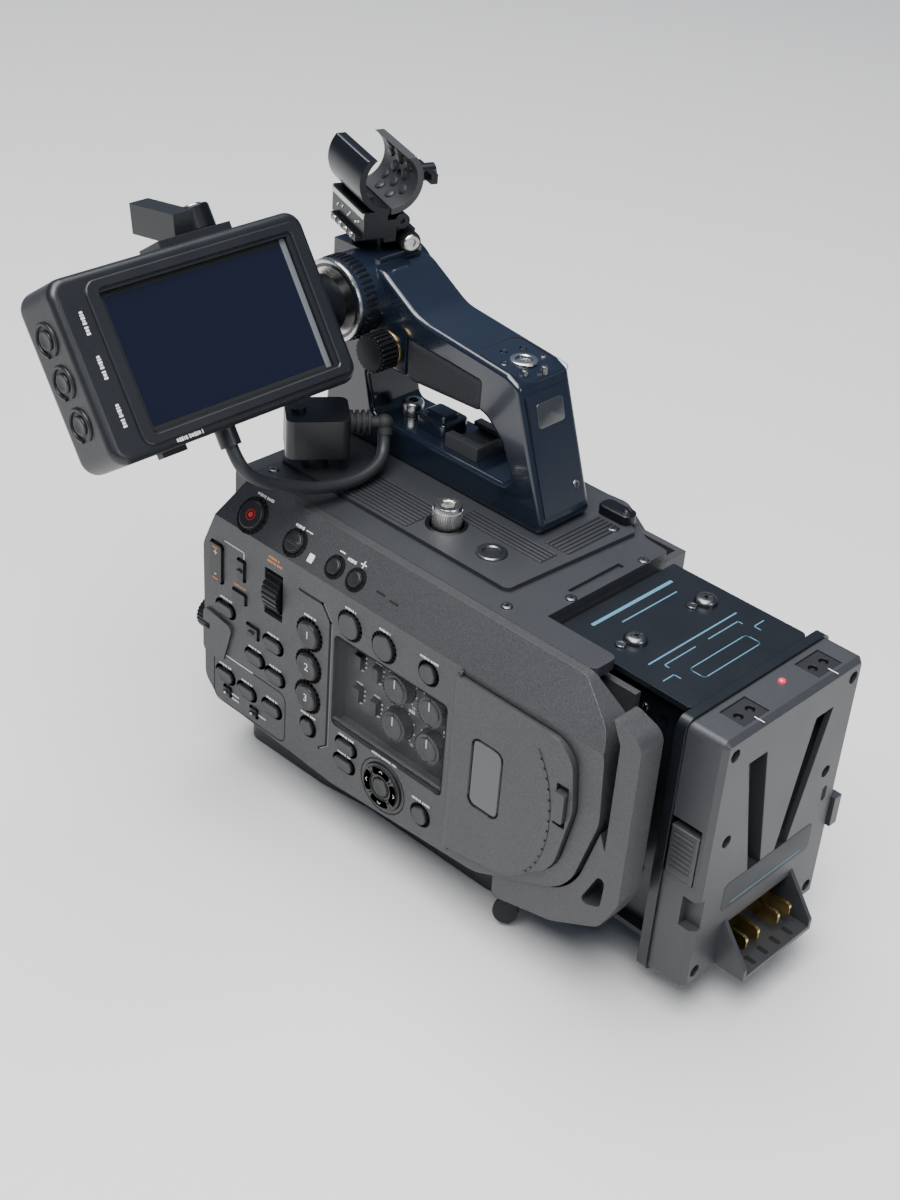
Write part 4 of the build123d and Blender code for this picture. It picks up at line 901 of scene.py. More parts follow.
        # Painted shadow beside the step by the assignable keys, and a painted highlight along its lit edge.
        piece("column_step_shadow", ribbon(step, 1.3, 0.03), PAINTED_SHADE, place=on_panel(0, 0))
        piece("column_step_edge", ribbon([(x + 1.0, z + 0.4) for x, z in step[1:]], 0.5, 0.05), EDGE_HIGHLIGHT_GREY,
              place=on_panel(0, 0))
        small, (upright, wide), square = self.slide_keys[:2], self.slide_keys[2:], (-88.5, 89.6)
        # Painted shade where each slot of the rocker and slide switches is.
        slot_shades = [(7.4, 18.4, 1.5, 0.8, self.rocker_at), (4.4, 9.4, 0.8, 0.8, upright),
                 (8.4, 4.8, 0.8, 0.7, square),
                 (7.4, 5.4, 0.8, 0.7, wide)] + [(4.4, 4.4, 0.8, 0.8, at) for at in small]
        piece("rocker_slots", merge([(groove_round(w, h, r, width), on_panel(*at))
                                     for w, h, r, width, at in slot_shades]), PAINTED_SHADE)

    def build_legends(self) -> None:
        """White and orange printing: plain signs, brackets and short rules, no words."""
        x, z = self.rocker_at
        piece("rocker_signs", merge([(figure(sign, 5.0), on_panel(x, z + rise, self.proud + 0.05))
                                     for sign, rise in (("+", 5.0), ("-", -5.0))]), PRINT_WHITE, "nd_key")
        piece("rocker_print", merge([(legend(4.0, 0.9), on_panel(x, z + rise, self.proud + 0.06))
                                     for rise in (7.5, -7.5)]), PRINT_ORANGE, "nd_key")
        rules = [(legend(w), on_panel(x, z)) for x, z, w in (
            (-97.0, 83.9, 8), (-67.3, 81.0, 7), (-78.5, 68.3, 8), (-65.7, 65.6, 7), (-97.5, 49.6, 8),
            (-83.5, 48.4, 7), (-67.4, 48.4, 7), (-21.8, 55.0, 9), (-22.5, 46.0, 8), (21.6, 48.8, 10),
            (20.5, 116.2, 10), (-22.7, 116.6, 6), (-3.6, 116.6, 6), (-44.8, 53.4, 9), (0.0, 57.3, 14),
            (self.assign_x, 101.6, 7))]
        rules += [(legend(4.5, 0.9), on_panel(x, z))
                  for x, z in ((-91.0, 37.2), (-73.5, 35.6), (-91.0, 34.9))]
        rules.append((ribbon([(-18, 0), (-6, 0), (-6, -3)], 0.5), on_panel(-80.0, 112.0)))
        rules.append((ribbon([(-12, 0), (12, 0)], 0.5), on_panel(-92.0, 55.2)))
        piece("panel_rules", merge(rules), PRINT_WHITE)
        piece("filter_rules", merge([(legend(w, h), on_panel(x, z)) for w, h, x, z in (
            (6.5, 1.2, -67.5, 118.0), (9.0, 1.2, -67.0, 115.9), (7.0, 0.9, -88.5, 94.4))]), PRINT_ORANGE)

    def build_levels(self) -> None:
        """Scales and caps of the audio controls, and painted shade in the seam round each and round their
        cover.
        """
        printed, shade_depth = 0.05 - self.pocket_depth, 0.03 - self.pocket_depth
        dots, digits, boxes, seam_shades = [], [], [], []
        for x, z in self.levels:
            dots += [on_panel(x + 8.0 * c, z + 8.0 * s, printed) for c, s in compass(9, 225, -33.75)]
            digits.append((figure("0", 2.0), on_panel(x - 6.4, z - 7.2, printed)))
            digits.append((figure("10", 2.0), on_panel(x + 6.6, z - 7.2, printed)))
            boxes.append((pad(3.4, 1.5, 0.3, 0.06, 0.02), on_panel(x + 5.8, z + 8.6, printed)))
            seam_shades.append((hoop(7.1, 0.7, 0.03), on_panel(x, z, shade_depth)))
        for x, z in self.pocket_keys:
            boxes += [(legend(3.6, 0.9), on_panel(x, z + rise, printed)) for rise in (4.6, -4.6)]
            boxes += [(legend(1.3, 0.8), on_panel(x + 3.2, z + 2.2 * k, printed)) for k in (-1, 0, 1)]
            seam_shades.append((groove_round(4.0, 6.8, 0.5, 0.5), on_panel(x, z, shade_depth)))
        piece("pocket_print", merge(boxes), PRINT_WHITE)
        # Painted shade in the seam round each dial and key in the pocket.
        piece("pocket_seams", merge(seam_shades), PAINTED_SHADE)
        REPEAT.copies("level_dots", turned([(0.32, -0.05), (0.32, 0.08)], 10), dots, PRINT_WHITE)
        piece("level_numbers", merge(digits), PRINT_WHITE)
        for number, (x, z) in enumerate(self.levels, 1):
            body = f"level_dial_{number}"
            teeth = [on_panel(x, z, 2.5 - self.pocket_depth) @ Matrix.Rotation(2 * math.pi * k / 28, 4, "Z")
                     @ Matrix.Translation((6.55, 0, 0)) for k in range(28)]
            REPEAT.copies(f"level_dial_rim_{number}", pad(0.5, 0.6, 0.1, 2.2, 0.1), teeth, KEY_BLACK, body)
            piece(f"level_dial_cap_{number}", pad(10.4, 10.4, 5.2, 0.5, 0.3, 0.15), KEY_BLACK, body,
                  on_panel(x, z, 4.28 - self.pocket_depth))
            piece(f"level_pointer_{number}", ribbon([(0, 1.0), (0, 4.6)], 0.6), PRINT_WHITE, body,
                  on_panel(x, z, 4.8 - self.pocket_depth))
        # Painted shade in the seam round the audio cover.
        piece("audio_cover_rim", seam_line(62.2, 43.2, 2.5, 0.7, 0.05, 4), PAINTED_SHADE, place=on_panel(0.25, 79.25))

    def build_band(self) -> None:
        """Painted shade where each speaker slot is, and signs of the sloped band."""
        # Painted shade where each speaker slot is; none is cut.
        REPEAT.copies("speaker_slots", pad(5.0, 1.0, 0.45, 0.05, 0.02),
                      [on_band(-11.5, 7.6), on_band(-4.0, 7.0)], PAINTED_SHADE)
        dash = [(-1.3, 0), (1.3, 0)]
        marks = [(legend(w, h), on_band(x, rise)) for w, h, x, rise in (
            (10.0, 1.2, -84.5, 16.6), (4.6, 1.3, -31.0, 12.6), (5.5, 1.3, -61.5, 13.6))]
        marks += [(ribbon(line, width), on_band(x, 13.6)) for line, width, x in (
            ([(0, 0), (3.5, 0)], 0.4, -58.0), (dash, 0.5, self.minus_at[0]), (dash, 0.5, self.plus_at[0]),
            ([(0, -1.3), (0, 1.3)], 0.5, self.plus_at[0]))]
        marks.append((pad(3.0, 3.6, 0.4, 0.06, 0.02), on_band(-49.5, 5.0)))
        piece("band_signs", merge(marks), PRINT_WHITE)

    def build_door(self) -> None:
        """Window rim, crease, slot numbers and latch ribs of the media door."""
        body, face = "media_lid", PANEL_Y - self.door_in
        piece("window_rim", seam_line(15.0, 31.0, 3.4, 0.8, 0.12), BLACK_METAL, body,
              on_left(55.0, 82.0, face))
        crease = [(18.0 * c - 18.0, 34.0 * s) for c, s in compass(16, -62, 8)]
        piece("door_crease", ribbon(crease, 0.9, 0.25), PANEL_GREY, body, on_left(87.0, 81.0, face))
        marks = []
        for text, rise in (("1", 7.5), ("2", -7.5)):
            marks += [(hoop(1.9, 0.4), Matrix.Translation((0, rise, 0))),
                      (figure(text, 2.6), Matrix.Translation((0, rise, 0)))]
        piece("slot_numbers", merge(marks), PRINT_WHITE, body, on_left(55.0, 82.0, face + 1.55))
        REPEAT.copies("latch_grips", bar(3.6, 0.6, 0.5, 0.15),
                      [on_left(91.5, 86.5 + 1.4 * k, face + 0.35)
                       for k in range(9)], KEY_BLACK, "media_latch")


# ---------------------------------------------------------------- body and deck
@dataclass
class BodyShell:
    """Deck, lens mount, right cover, base and rear guard."""

    rib_pitch: float = 2.1
    deck_z: float = 138.5
    knob_at: tuple[float, float] = (-17.7, -21.5)
    mount_x: float = -117.0
    right_y: float = 60.0

    def build(self) -> None:
        """Dresses the body's nodes and adds their small parts."""
        paint(DECK_PAINT, "top_deck", "rear_frame")
        paint(PANEL_GREY, "right_cover", "rear_guard")
        paint(CAST_GREY, "base_plate", "chassis_frame", "front_frame")
        paint(STEEL, "lens_flange", "mount_lock_ring", "handle_lock_knob")
        paint(SENSOR_GLASS, "image_sensor")
        paint(BOARD_GREEN, "main_board")
        paint(KEY_BLACK, "card_slot_block")
        paint(RUBBER, "socket_cap")
        self.build_deck()
        self.build_mount()
        self.build_sides()

    def build_deck(self) -> None:
        """Fine ribs with painted shade between them, thread insert, screws, and the collar, cap and knurl of
        the lock knob.
        """
        fields = (("left", on_top(-46.0, -25.5), 40.0, 21.0, False),
                  ("middle", on_top(4.0, -9.6), 44.0, 10.5, False),
                  ("rear", on_top(22.5, 14.0), 12.6, 32.0, True),
                  ("right", on_top(-49.0, 37.0), 92.0, 13.0, False))
        for name, middle, across, deep, upright in fields:
            # Painted shade under the ribs, which shows in the grooves between them.
            piece(f"deck_field_{name}", pad(across, deep, 1.0, 0.08, 0.03), GROOVE_SHADE, place=middle)
            span, length = (across, deep) if upright else (deep, across)
            count = int(span / self.rib_pitch)
            ribs = []
            for k in range(count):
                slide = (k - (count - 1) / 2) * self.rib_pitch
                shift = Matrix.Translation((slide, 0, 0)) if upright else Matrix.Translation((0, slide, 0))
                turned_rib = Matrix.Rotation(math.pi / 2, 4, "Z") if upright else Matrix()
                ribs.append(middle @ shift @ turned_rib)
            REPEAT.copies(f"deck_ribs_{name}", bar(length - 0.6, self.rib_pitch * 0.55, 0.6, 0.25), ribs,
                          DECK_PAINT)
        piece("deck_insert", turned([(6.2, -0.1), (6.2, 0.5), (5.7, 0.9), (3.9, 0.9), (3.4, 0.5), (3.3, -5.5),
                                     (3.2, -5.5)], 40), DARK_STEEL, place=on_top(8.5, -23.4))
        screws = [on_top(x, y, self.deck_z) for x, y in ((47.7, -21.3), (48.2, 20.9), (36.0, -44.0))]
        screws += [on_top(-90.0, 40.0), on_top(-95.0, -44.0, self.deck_z), on_top(27.0, 27.0)]
        REPEAT.copies("deck_screws", cross_screw(2.3, 0.8), screws, DARK_STEEL, loose=1.5)
        piece("knob_collar", turned([(8.4, -2.0), (8.4, -0.2), (7.9, 0.1), (7.2, 0.1), (6.9, -0.3),
                                     (6.9, -2.0)], 48),
              BLACK_METAL, place=on_top(*self.knob_at))
        knob = turned([(5.75, 138.6), (5.75, 148.8), (5.3, 149.5), (3.1, 149.5), (2.9, 149.2), (2.9, 147.1)],
                      60, Recess.HEX, 2.95)
        piece("lock_knob_cap", knob, STEEL, "lock_knob", on_top(*self.knob_at, 0.0))
        teeth = [on_top(*self.knob_at, 139.0) @ Matrix.Rotation(2 * math.pi * k / 40, 4, "Z")
                 @ Matrix.Translation((5.75, 0, 0)) for k in range(40)]
        REPEAT.copies("lock_knob_knurl", pad(0.55, 0.45, 0.1, 8.6, 0.15), teeth, STEEL, "lock_knob")

    def build_mount(self) -> None:
        """Screws, grips, contacts and index dot of the lens mount, and the sensor's mask."""
        screws = [on_front(LENS_Y + 25.6 * c, LENS_Z + 25.6 * s, self.mount_x) for c, s in compass(6, 20)]
        REPEAT.copies("mount_screws", cross_screw(1.5, 0.35), screws, DARK_STEEL, loose=1.5)
        grips = [pose(Vector((-114.5, LENS_Y + 32.9 * c, LENS_Z + 32.9 * s)), TO_REAR, Vector((0, c, s)))
                 for c, s in compass(48) if c > -math.cos(math.radians(14))]
        REPEAT.copies("mount_ring_grips", bar(4.2, 1.3, 0.5, 0.3), grips, BLACK_METAL, "lock_ring")
        pins = [on_front(LENS_Y - 7.0 + 1.55 * k, LENS_Z - 21.6 + 0.09 * (k - 4.5) ** 2, -105.5)
                for k in range(10)]
        REPEAT.copies("mount_contacts", dome(0.5, 0.5, 12), pins, GOLD)
        piece("mount_index_dot", pad(2.4, 2.4, 1.2, 0.1, 0.03), PRINT_WHITE, "lock_ring",
              on_front(LENS_Y, LENS_Z + 30.6, self.mount_x))
        mask = ((44, 34, 0.1), (44, 34, 0.5), (37, 21, 0.5), (36, 20, 0.15))
        piece("sensor_mask", loft([[Vector((x, y, z)) for x, y in outline(w, h, 1.0)] for w, h, z in mask]),
              PAINTED_SHADE, place=on_front(LENS_Y, LENS_Z, -88.0))

    def build_sides(self) -> None:
        """Painted shade for the grille of the base, screws and rule of the right cover, and rubber feet."""
        # Painted shade bars where the grille's openings are.
        REPEAT.copies("inlet_slats", bar(40.0, 0.9, 0.5, 0.2),
                      [on_left(-57.0, 6.6 + 2.6 * k, -46.9) for k in range(6)], PAINTED_SHADE)
        screws = [on_right(x, z, self.right_y) for x, z in ((-92, 120), (-92, 24), (0, 24), (22, 112))]
        REPEAT.copies("side_screws", cross_screw(2.4, 0.8), screws, DARK_STEEL, loose=1.5)
        piece("right_rule", ribbon([(-18, 0), (18, 0)], 0.8), PRINT_WHITE,
              place=on_right(-50.0, 96.0, self.right_y))
        feet = [Matrix.Translation((x, y, 0.25)) @ Matrix.Rotation(math.pi, 4, "X") for x, y in
                ((-90, -34), (-90, 34), (42, -24), (42, 24))]
        REPEAT.copies("base_pads", pad(9, 9, 4.5, 0.25, 0.1), feet, RUBBER)


# ---------------------------------------------------------------- handle
@dataclass
class TopHandle:
    """Handle loop, rod drum, shoe and clamp knob."""

    drum_x: float = -96.0
    drum_z: float = 205.0
    drum_r: float = 17.0
    knob_at: tuple[float, float] = (-73.5, 190.0)

    def build(self) -> None:
        """Dresses the handle and adds painted shade in its seam and groove, and its screws and ribs."""
        paint(HANDLE_PAINT, "handle_frame", "handle_rear_cover")
        paint(GRIP_RUBBER, "handle_grip")
        paint(CAST_GREY, "accessory_shoe")
        paint(BLACK_METAL, "rod_clamp_knob", "monitor_arm")
        paint(DARK_STEEL, "machine_screws")
        self.build_drum()
        self.build_top()
        self.build_post()

    def build_drum(self) -> None:
        """Ring, ribs and cap of the rod drum, and grips and ring of the clamp knob."""
        ring = turned([(15.0, -0.2), (16.0, 0.25), (16.9, 0.1), (17.15, -0.6), (17.15, -1.4), (16.9, -1.5)],
                      72)
        piece("drum_bright_ring", ring, STEEL, place=on_left(self.drum_x, self.drum_z, -14.0))
        REPEAT.copies("drum_ribs", bar(6.0, 1.1, 0.55, 0.3),
                      self.around(self.drum_x, self.drum_z, -7.5, self.drum_r,
                                  compass(44, 0, 8.2)), BLACK_METAL)
        piece("drum_cap", turned([(16.0, -0.1), (16.0, 0.6), (15.2, 1.0), (6.0, 1.2), (5.8, 0.7), (0.2, 0.7)],
                                 64),
              HANDLE_PAINT, place=on_right(self.drum_x, self.drum_z, HANDLE_Y1 + 1.0))
        REPEAT.copies("clamp_knob_grips", bar(9.0, 1.0, 0.7, 0.3),
                      self.around(*self.knob_at, -8.8, 7.4, compass(24)), BLACK_METAL, "clamp_knob")
        piece("clamp_knob_ring", turned([(8.25, 0.0), (8.25, 0.9), (7.9, 1.1), (7.4, 1.1), (7.3, 0.0)], 56),
              GOLD, "clamp_knob", on_left(*self.knob_at, -3.75))

    @staticmethod
    def around(x: float, z: float, y: float, r: float, directions: Points) -> list[Matrix]:
        """Places on a round part that lies across the camera.

        Args:
            x: Where its axis is.
            z: Height of its axis.
            y: Where along the axis.
            r: Its radius.
            directions: Cosine and sine of each place.

        Returns:
            The places, each facing out, with local X along the axis.
        """
        return [pose(Vector((x + r * c, y, z + r * s)), TO_RIGHT, Vector((c, 0, s))) for c, s in directions]

    def build_top(self) -> None:
        """Thread insert, ring of screws and painted shade in the seam of the top bar."""
        top = Vector((-16.4, LENS_Y, 201.6))
        piece("handle_insert", turned([(5.6, -0.4), (5.6, 0.2), (5.2, 0.45), (3.7, 0.45), (3.3, 0.1),
                                       (3.25, -7.0), (3.22, -7.0)], 40), STEEL, place=Matrix.Translation(top))
        screws = [Matrix.Translation(top + Vector((9 * c, 9 * s, -0.35))) for c, s in compass(6, 15)]
        REPEAT.copies("handle_ring_screws", cross_screw(1.5, 0.5), screws, DARK_STEEL, loose=1.5)
        slope = 0.083
        # Painted shade line in the seam round the top plate.
        piece("top_plate_seam", seam_line(30.0, 24.0, 5.0, 0.35, 0.05), PAINTED_SHADE,
              place=pose(top + 0.25 * UP, Vector((1, 0, -slope)), Vector((slope, 0, 1))))

    def build_post(self) -> None:
        """Window, painted shade in the groove, and screw of the rear post, lever behind it, and screw and
        riser at the foot.
        """
        normal, down = Vector((57.5, 0, 17.0)), Vector((16.0, 0, -46.5)).normalized()
        base = Vector((-3.4, LENS_Y, 194.0))
        piece("sensor_window", pad(15.0, 10.0, 1.5, 0.35, 0.2), SMOKED_WINDOW,
              place=pose(base + down * 9.0, TO_RIGHT, normal))
        piece("post_screw", socket_screw(1.9, 0.4), DARK_STEEL,
              place=pose(base + down * 41.0 + TO_RIGHT * 8.0, TO_RIGHT, normal))
        # Painted shade line in the groove of the post.
        piece("post_groove", ribbon([(-15, 0), (30, 0)], 0.5, 0.04), PAINTED_SHADE,
              place=pose(base + down * 17.0 - TO_RIGHT * 11.6, down, normal))
        lever = merge([(pad(16.0, 8.0, 3.0, 4.0, 0.8), Matrix()),
                       (dome(2.4, 5.2), Matrix.Translation((4.5, 0, 0)))])
        piece("rear_lever", lever, BLACK_METAL, place=on_top(21.5, 36.0, 140.6))
        piece("foot_cap_screw", socket_screw(4.6, 5.5), STEEL, place=on_top(-74.0, LENS_Y, 155.4))
        riser = merge([(pad(17.0, 15.0, 2.5, 6.0, 0.9), Matrix()), (pad(11.0, 9.0, 1.5, 8.0, 0.8), Matrix())])
        piece("shoe_riser", riser, HANDLE_PAINT, place=on_top(-57.0, LENS_Y, 155.0))


# ---------------------------------------------------------------- monitor
@dataclass
class Monitor:
    """Tilting monitor with its hood clip, keys and cable."""

    route: tuple[tuple[float, float, float], ...] = (
        (-66.53, -9.80, 155.48), (-64.42, -11.31, 150.05), (-60.8, -17.5, 147.0), (-59.5, -28.5, 144.9),
        (-60.2, -40.0, 145.4), (-61.8, -52.5, 147.8), (-63.6, -63.8, 152.1), (-64.7, -73.7, 156.7),
        (-65.6, -81.5, 162.0), (-66.98, -86.5, 168.71), (-70.96, -86.5, 174.47))
    cable_r: float = 2.6
    middle: float = -13.0       # middle of the shell's thickness, from the screen
    glass: float = -1.9
    side_keys: tuple[float, ...] = (17.0, 1.0, -15.0)

    def build(self) -> None:
        """Dresses the monitor's nodes and adds their detail."""
        paint(MONITOR_SHELL, "monitor_shell", "monitor_bezel", "hood_clip", "monitor_keys", "monitor_socket")
        paint(MONITOR_GLASS, "monitor_glass")
        paint(RUBBER, "cable_boot")
        self.build_cable()
        self.build_front()
        self.build_side()
        self.build_clip()

    def build_cable(self) -> None:
        """The cable between the socket's elbow and the monitor."""
        curve = bpy.data.curves.new("monitor_lead", "CURVE")
        curve.dimensions = "3D"
        spline = curve.splines.new("NURBS")
        spline.points.add(len(self.route) - 1)
        for point, (x, y, z) in zip(spline.points, self.route):
            point.co = (x * MM, y * MM, z * MM, 1)
        spline.order_u = 3
        spline.use_endpoint_u = True
        spline.resolution_u = 10
        curve.bevel_depth = self.cable_r * MM
        curve.bevel_resolution = 6
        curve.use_fill_caps = True
        curve.materials.append(CABLE_JACKET.material())
        lead = show("monitor_lead", curve)
        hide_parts("monitor_cable")
        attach(lead, ROOT)
        tuple(v * MM for v in self.route[0])

    def build_front(self) -> None:
        """Frame, painted highlight on the inner rim and painted shadow along the edge round the glass, and
        the labels beside it.
        """
        piece("bezel_frame", rim((101.0, 62.0, 5.0), (90.0, 54.5, 1.5), 1.0, 0.45), MONITOR_SHELL, "monitor",
              on_screen(0.9, 0.3))
        # Painted highlight on the lit inner rim at the right of the glass.
        piece("glass_right_rim", pad(2.6, 52.0, 0.3, 0.2, 0.08), RIM_HIGHLIGHT, "monitor",
              on_screen(42.4, 0.0, self.glass))
        # Painted shadow along the edge round the glass.
        piece("glass_dark_edge", rim((87.6, 52.1, 0.6), (84.0, 49.0, 0.6), 0.06, 0.02), PAINTED_SHADE, "monitor",
              on_screen(0, 0, self.glass))
        labels = []
        for v in (17.5, 1.0, -17.0):
            labels.append((legend(9.0, 1.7), on_screen(-54.0, v) @ Matrix.Rotation(-math.pi / 2, 4, "Z")))
        labels.append((legend(12.0, 1.6), on_screen(-30.0, -31.9)))
        piece("monitor_labels", merge(labels), PRINT_WHITE, "monitor")

    def build_side(self) -> None:
        """Guards and caps of the side keys."""
        out = on_screen(0, 0).to_3x3() @ UP
        ring = [Vector((6.0 * c, 6.0 * s, 0.2)) for c, s in compass(25, -70, 320 / 24)]
        guards, caps = [], []
        for v in self.side_keys:
            place = pose(on_screen(-63.05, v, self.middle).translation, out, -TO_RIGHT)
            guards.append((tube(ring, 0.8, 10), place))
            caps.append((pad(7.6, 7.6, 3.8, 1.0, 0.6, 0.4), place))
        piece("key_guards", merge(guards), MONITOR_SHELL, "monitor")
        piece("side_key_caps", merge(caps), KEY_BLACK, "monitor")

    def build_clip(self) -> None:
        """Bright screw and collar of the hood clip."""
        place = on_screen(16.0, 47.75, self.middle) @ Matrix.Rotation(-math.pi / 2, 4, "X")
        piece("clip_screw_head", socket_screw(4.7, 1.2), STEEL, "monitor", place)
        piece("clip_post_collar", turned([(6.6, 0.0), (6.9, 0.3), (6.9, 8.6), (6.4, 9.3), (5.1, 9.3),
                                          (4.9, 8.9)], 40),
              BLACK_METAL, "monitor", place @ Matrix.Translation((0, 0, -9.0)))


# ---------------------------------------------------------------- microphone holder
@dataclass
class MicHolder:
    """Clamp for a microphone on the front of the handle."""

    at: tuple[float, float] = (-104.0, 15.0)
    yaw: float = -21.0
    axis_z: float = 252.0
    bore: float = 11.0
    bolt: tuple[float, float, float] = (14.5, 9.0, 226.4)

    def place(self, at: tuple[float, float, float], x: Vector, z: Vector) -> Matrix:
        """Place given in the holder's own directions.

        Args:
            at: The origin.
            x: Direction of local X.
            z: Direction of local Z, out of the face.

        Returns:
            The place in the row's frame.
        """
        turn = Matrix.Rotation(math.radians(self.yaw), 3, "Z")
        return pose(turn @ Vector(at) + Vector((*self.at, 0)), turn @ x, turn @ z)

    def on_side(self, x: float, y: float, z: float) -> Matrix:
        """Place on a face that looks to the holder's own -Y."""
        return self.place((x, y, z), TO_REAR, -TO_RIGHT)

    def build(self) -> None:
        """Dresses the clamp and adds its small parts."""
        paint(BLACK_METAL, "mic_base", "mic_wing_screw")
        paint(CRADLE_GREY, "mic_cradle")
        self.build_jaws()
        self.build_base()

    def build_jaws(self) -> None:
        """Bumps inside both jaws and the worn edge of each."""
        for name, body, side in (("jaw", "mic_jaw", 1), ("base", ROOT, -1)):
            bumps = []
            for k, (c, s) in enumerate(compass(5, -64, 26)):
                for x in (-9.0, 0.0, 9.0) if k % 2 else (-5.0, 5.0):
                    at = (x, side * self.bore * c, self.axis_z + self.bore * s)
                    bumps.append(self.place(at, TO_REAR, Vector((0, -side * c, -s))))
            REPEAT.copies(f"{name}_bumps", dome(2.4, 1.1), bumps, KEY_GREY, body)
            piece(f"{name}_edge", bar(33.0, 0.7, 0.12, 0.05), STEEL, body,
                  self.place((0, side * 10.0, 261.0), TO_REAR, UP))

    def build_base(self) -> None:
        """Bright bar, pins and screws of the base, and the knurled bolt beside it."""
        piece("holder_bright_bar", pad(33.0, 2.4, 0.4, 0.5, 0.2), STEEL, place=self.on_side(0, -11.0, 238.4))
        pins = ((-11, 233.4), (-6, 234.4), (0, 233.0), (2, 234.6), (8, 233.2), (11, 234.4))
        REPEAT.copies("holder_pins", dome(0.7, 0.4, 12), [self.on_side(x, -11.0, z) for x, z in pins], STEEL)
        REPEAT.copies("holder_screws", socket_screw(1.2, 0.5),
                      [self.on_side(x, -13.0, 228.5) for x in (-9.0, -3.0, 3.0, 9.0)], STEEL, loose=1.0)
        x, y, z = self.bolt
        teeth = [self.place((x, y + 4.0 * c, z + 4.0 * s), TO_REAR, Vector((0, c, s)))
                 for c, s in compass(22)]
        REPEAT.copies("bolt_knurl", bar(8.0, 0.7, 0.4, 0.2), teeth, BLACK_METAL)
        piece("bolt_face", socket_screw(3.6, 0.6), STEEL,
              place=self.place((x + 4.5, y, z), TO_RIGHT, TO_REAR))


# ---------------------------------------------------------------- battery adapter
@dataclass
class BatteryAdapter:
    """Adapter box with its printed top and the wedge battery plate."""

    core_y: float = 29.0
    shroud_top: float = 132.6

    def build(self) -> None:
        """Dresses the adapter and plate and adds lamps, screws and printing."""
        paint(ADAPTER_PAINT, "adapter_housing", "battery_backplate")
        paint(BATTERY_SHELL, "battery_plate", "battery_release")
        paint(GOLD, "battery_contacts")
        paint(KEY_BLACK, "power_sockets")
        self.build_top()
        self.build_plate()
        self.build_core()

    def build_top(self) -> None:
        """Pale blue rules and brackets on the top plate, and bright screw heads."""
        flat = on_top(0, 0, ADAPTER_TOP)
        lines = [([(60, -22), (60, 24)], 1.6), ([(66, -12), (66, 20)], 0.6), ([(90, -26), (90, 26)], 0.7),
                 ([(96, -22), (94, -22), (94, -4)], 0.5), ([(96, 22), (94, 22), (94, 4)], 0.5),
                 ([(103, -24), (100, -24), (100, -30)], 0.5), ([(103, 24), (100, 24), (100, 30)], 0.5)]
        parts = [(ribbon(points, width), flat) for points, width in lines]
        parts.append((seam_line(7.0, 34.0, 1.5, 0.45, steps=4), on_top(105.0, 0, ADAPTER_TOP)))
        piece("adapter_print", merge(parts), PRINT_BLUE)
        heads = [on_top(77.0, -18.0, ADAPTER_TOP), on_top(77.8, 23.0, ADAPTER_TOP)]
        REPEAT.copies("adapter_screw_heads", cross_screw(4.6, 2.6), heads, DARK_STEEL, loose=1.5)
        pins = [on_top(75.5, -24.6, ADAPTER_TOP), on_top(76.3, 16.4, ADAPTER_TOP)]
        REPEAT.copies("adapter_pins", socket_screw(2.2, 0.9), pins, DARK_STEEL, loose=1.5)

    def build_plate(self) -> None:
        """Screws, lamp, label field, painted shade for the small hole and each shroud slot, socket marks and
        release ribs.
        """
        screws = [on_plate(y, z, PLATE_X - 3.6) for y, z in ((-36, 125.5), (36, 125.5), (-31, 84), (31, 84),
                                                             (-36, 23.5), (36, 23.5))]
        REPEAT.copies("plate_screws", cross_screw(2.4, 1.2), screws, DARK_STEEL, loose=1.5)
        piece("charge_lamp", dome(1.6, 1.2), LAMP_RED, place=on_top(127.5, 4.0, self.shroud_top))
        piece("label_field", pad(56.0, 13.5, 2.5, 0.12, 0.05), LABEL_GREY, place=on_plate(2.0, 53.0))
        piece("label_rule", ribbon([(-22, 0), (22, 0)], 0.5, 0.16), PRINT_BLUE, place=on_plate(2.0, 48.6))
        # Painted shade where the small oval hole is; the hole is not cut.
        hole = outline(3.0, 7.0, 1.5, 4)
        piece("small_oval_hole", loft([[Vector((x, y, z)) for x, y in hole] for z in (-0.02, 0.04)]), PAINTED_SHADE,
              place=on_plate(33.5, 72.0))
        # Painted shade where each shroud slot is.
        slot_shades = [on_top(147.0, y, 20.1) for y in (-12.0, -4.0, 4.0, 12.0)]
        REPEAT.copies("shroud_slots", pad(5.0, 2.2, 0.8, 0.05, 0.02), slot_shades, PAINTED_SHADE)
        piece("socket_marks", merge([(ribbon([(-2, 0), (2, 0)], 0.5),
                                      on_top(136.0, y, self.shroud_top + 0.05)) for y in (-21, 24)]),
              PRINT_WHITE)
        ribs = [on_left(128.0, 70.0 + 2.2 * k, -42.95) for k in range(8)]
        REPEAT.copies("release_ribs", bar(9.0, 0.8, 0.4, 0.2), ribs, BATTERY_SHELL, "release_key")

    def build_core(self) -> None:
        """Painted shade where each vent is, and bright screws on the sides of the core."""
        spots = [(x, z) for x in (66.0, 72.0, 78.0, 84.0) for z in (50.0, 76.0, 102.0)]
        screws = []
        for name, on_side, way in (("core_vents", on_left, -1), ("core_vents_right", on_right, 1)):
            # Painted shade where each vent is; none is cut.
            vent_shades = [on_side(x, z, way * (self.core_y + 0.05)) for x, z in spots]
            REPEAT.copies(name, pad(2.2, 16.0, 1.1, 0.05, 0.02), vent_shades, PAINTED_SHADE)
            screws += [on_side(93.0, z, way * self.core_y) for z in (34.0, 62.0, 90.0, 118.0)]
        REPEAT.copies("core_screws", cross_screw(1.8, 0.8), screws, STEEL, loose=1.5)


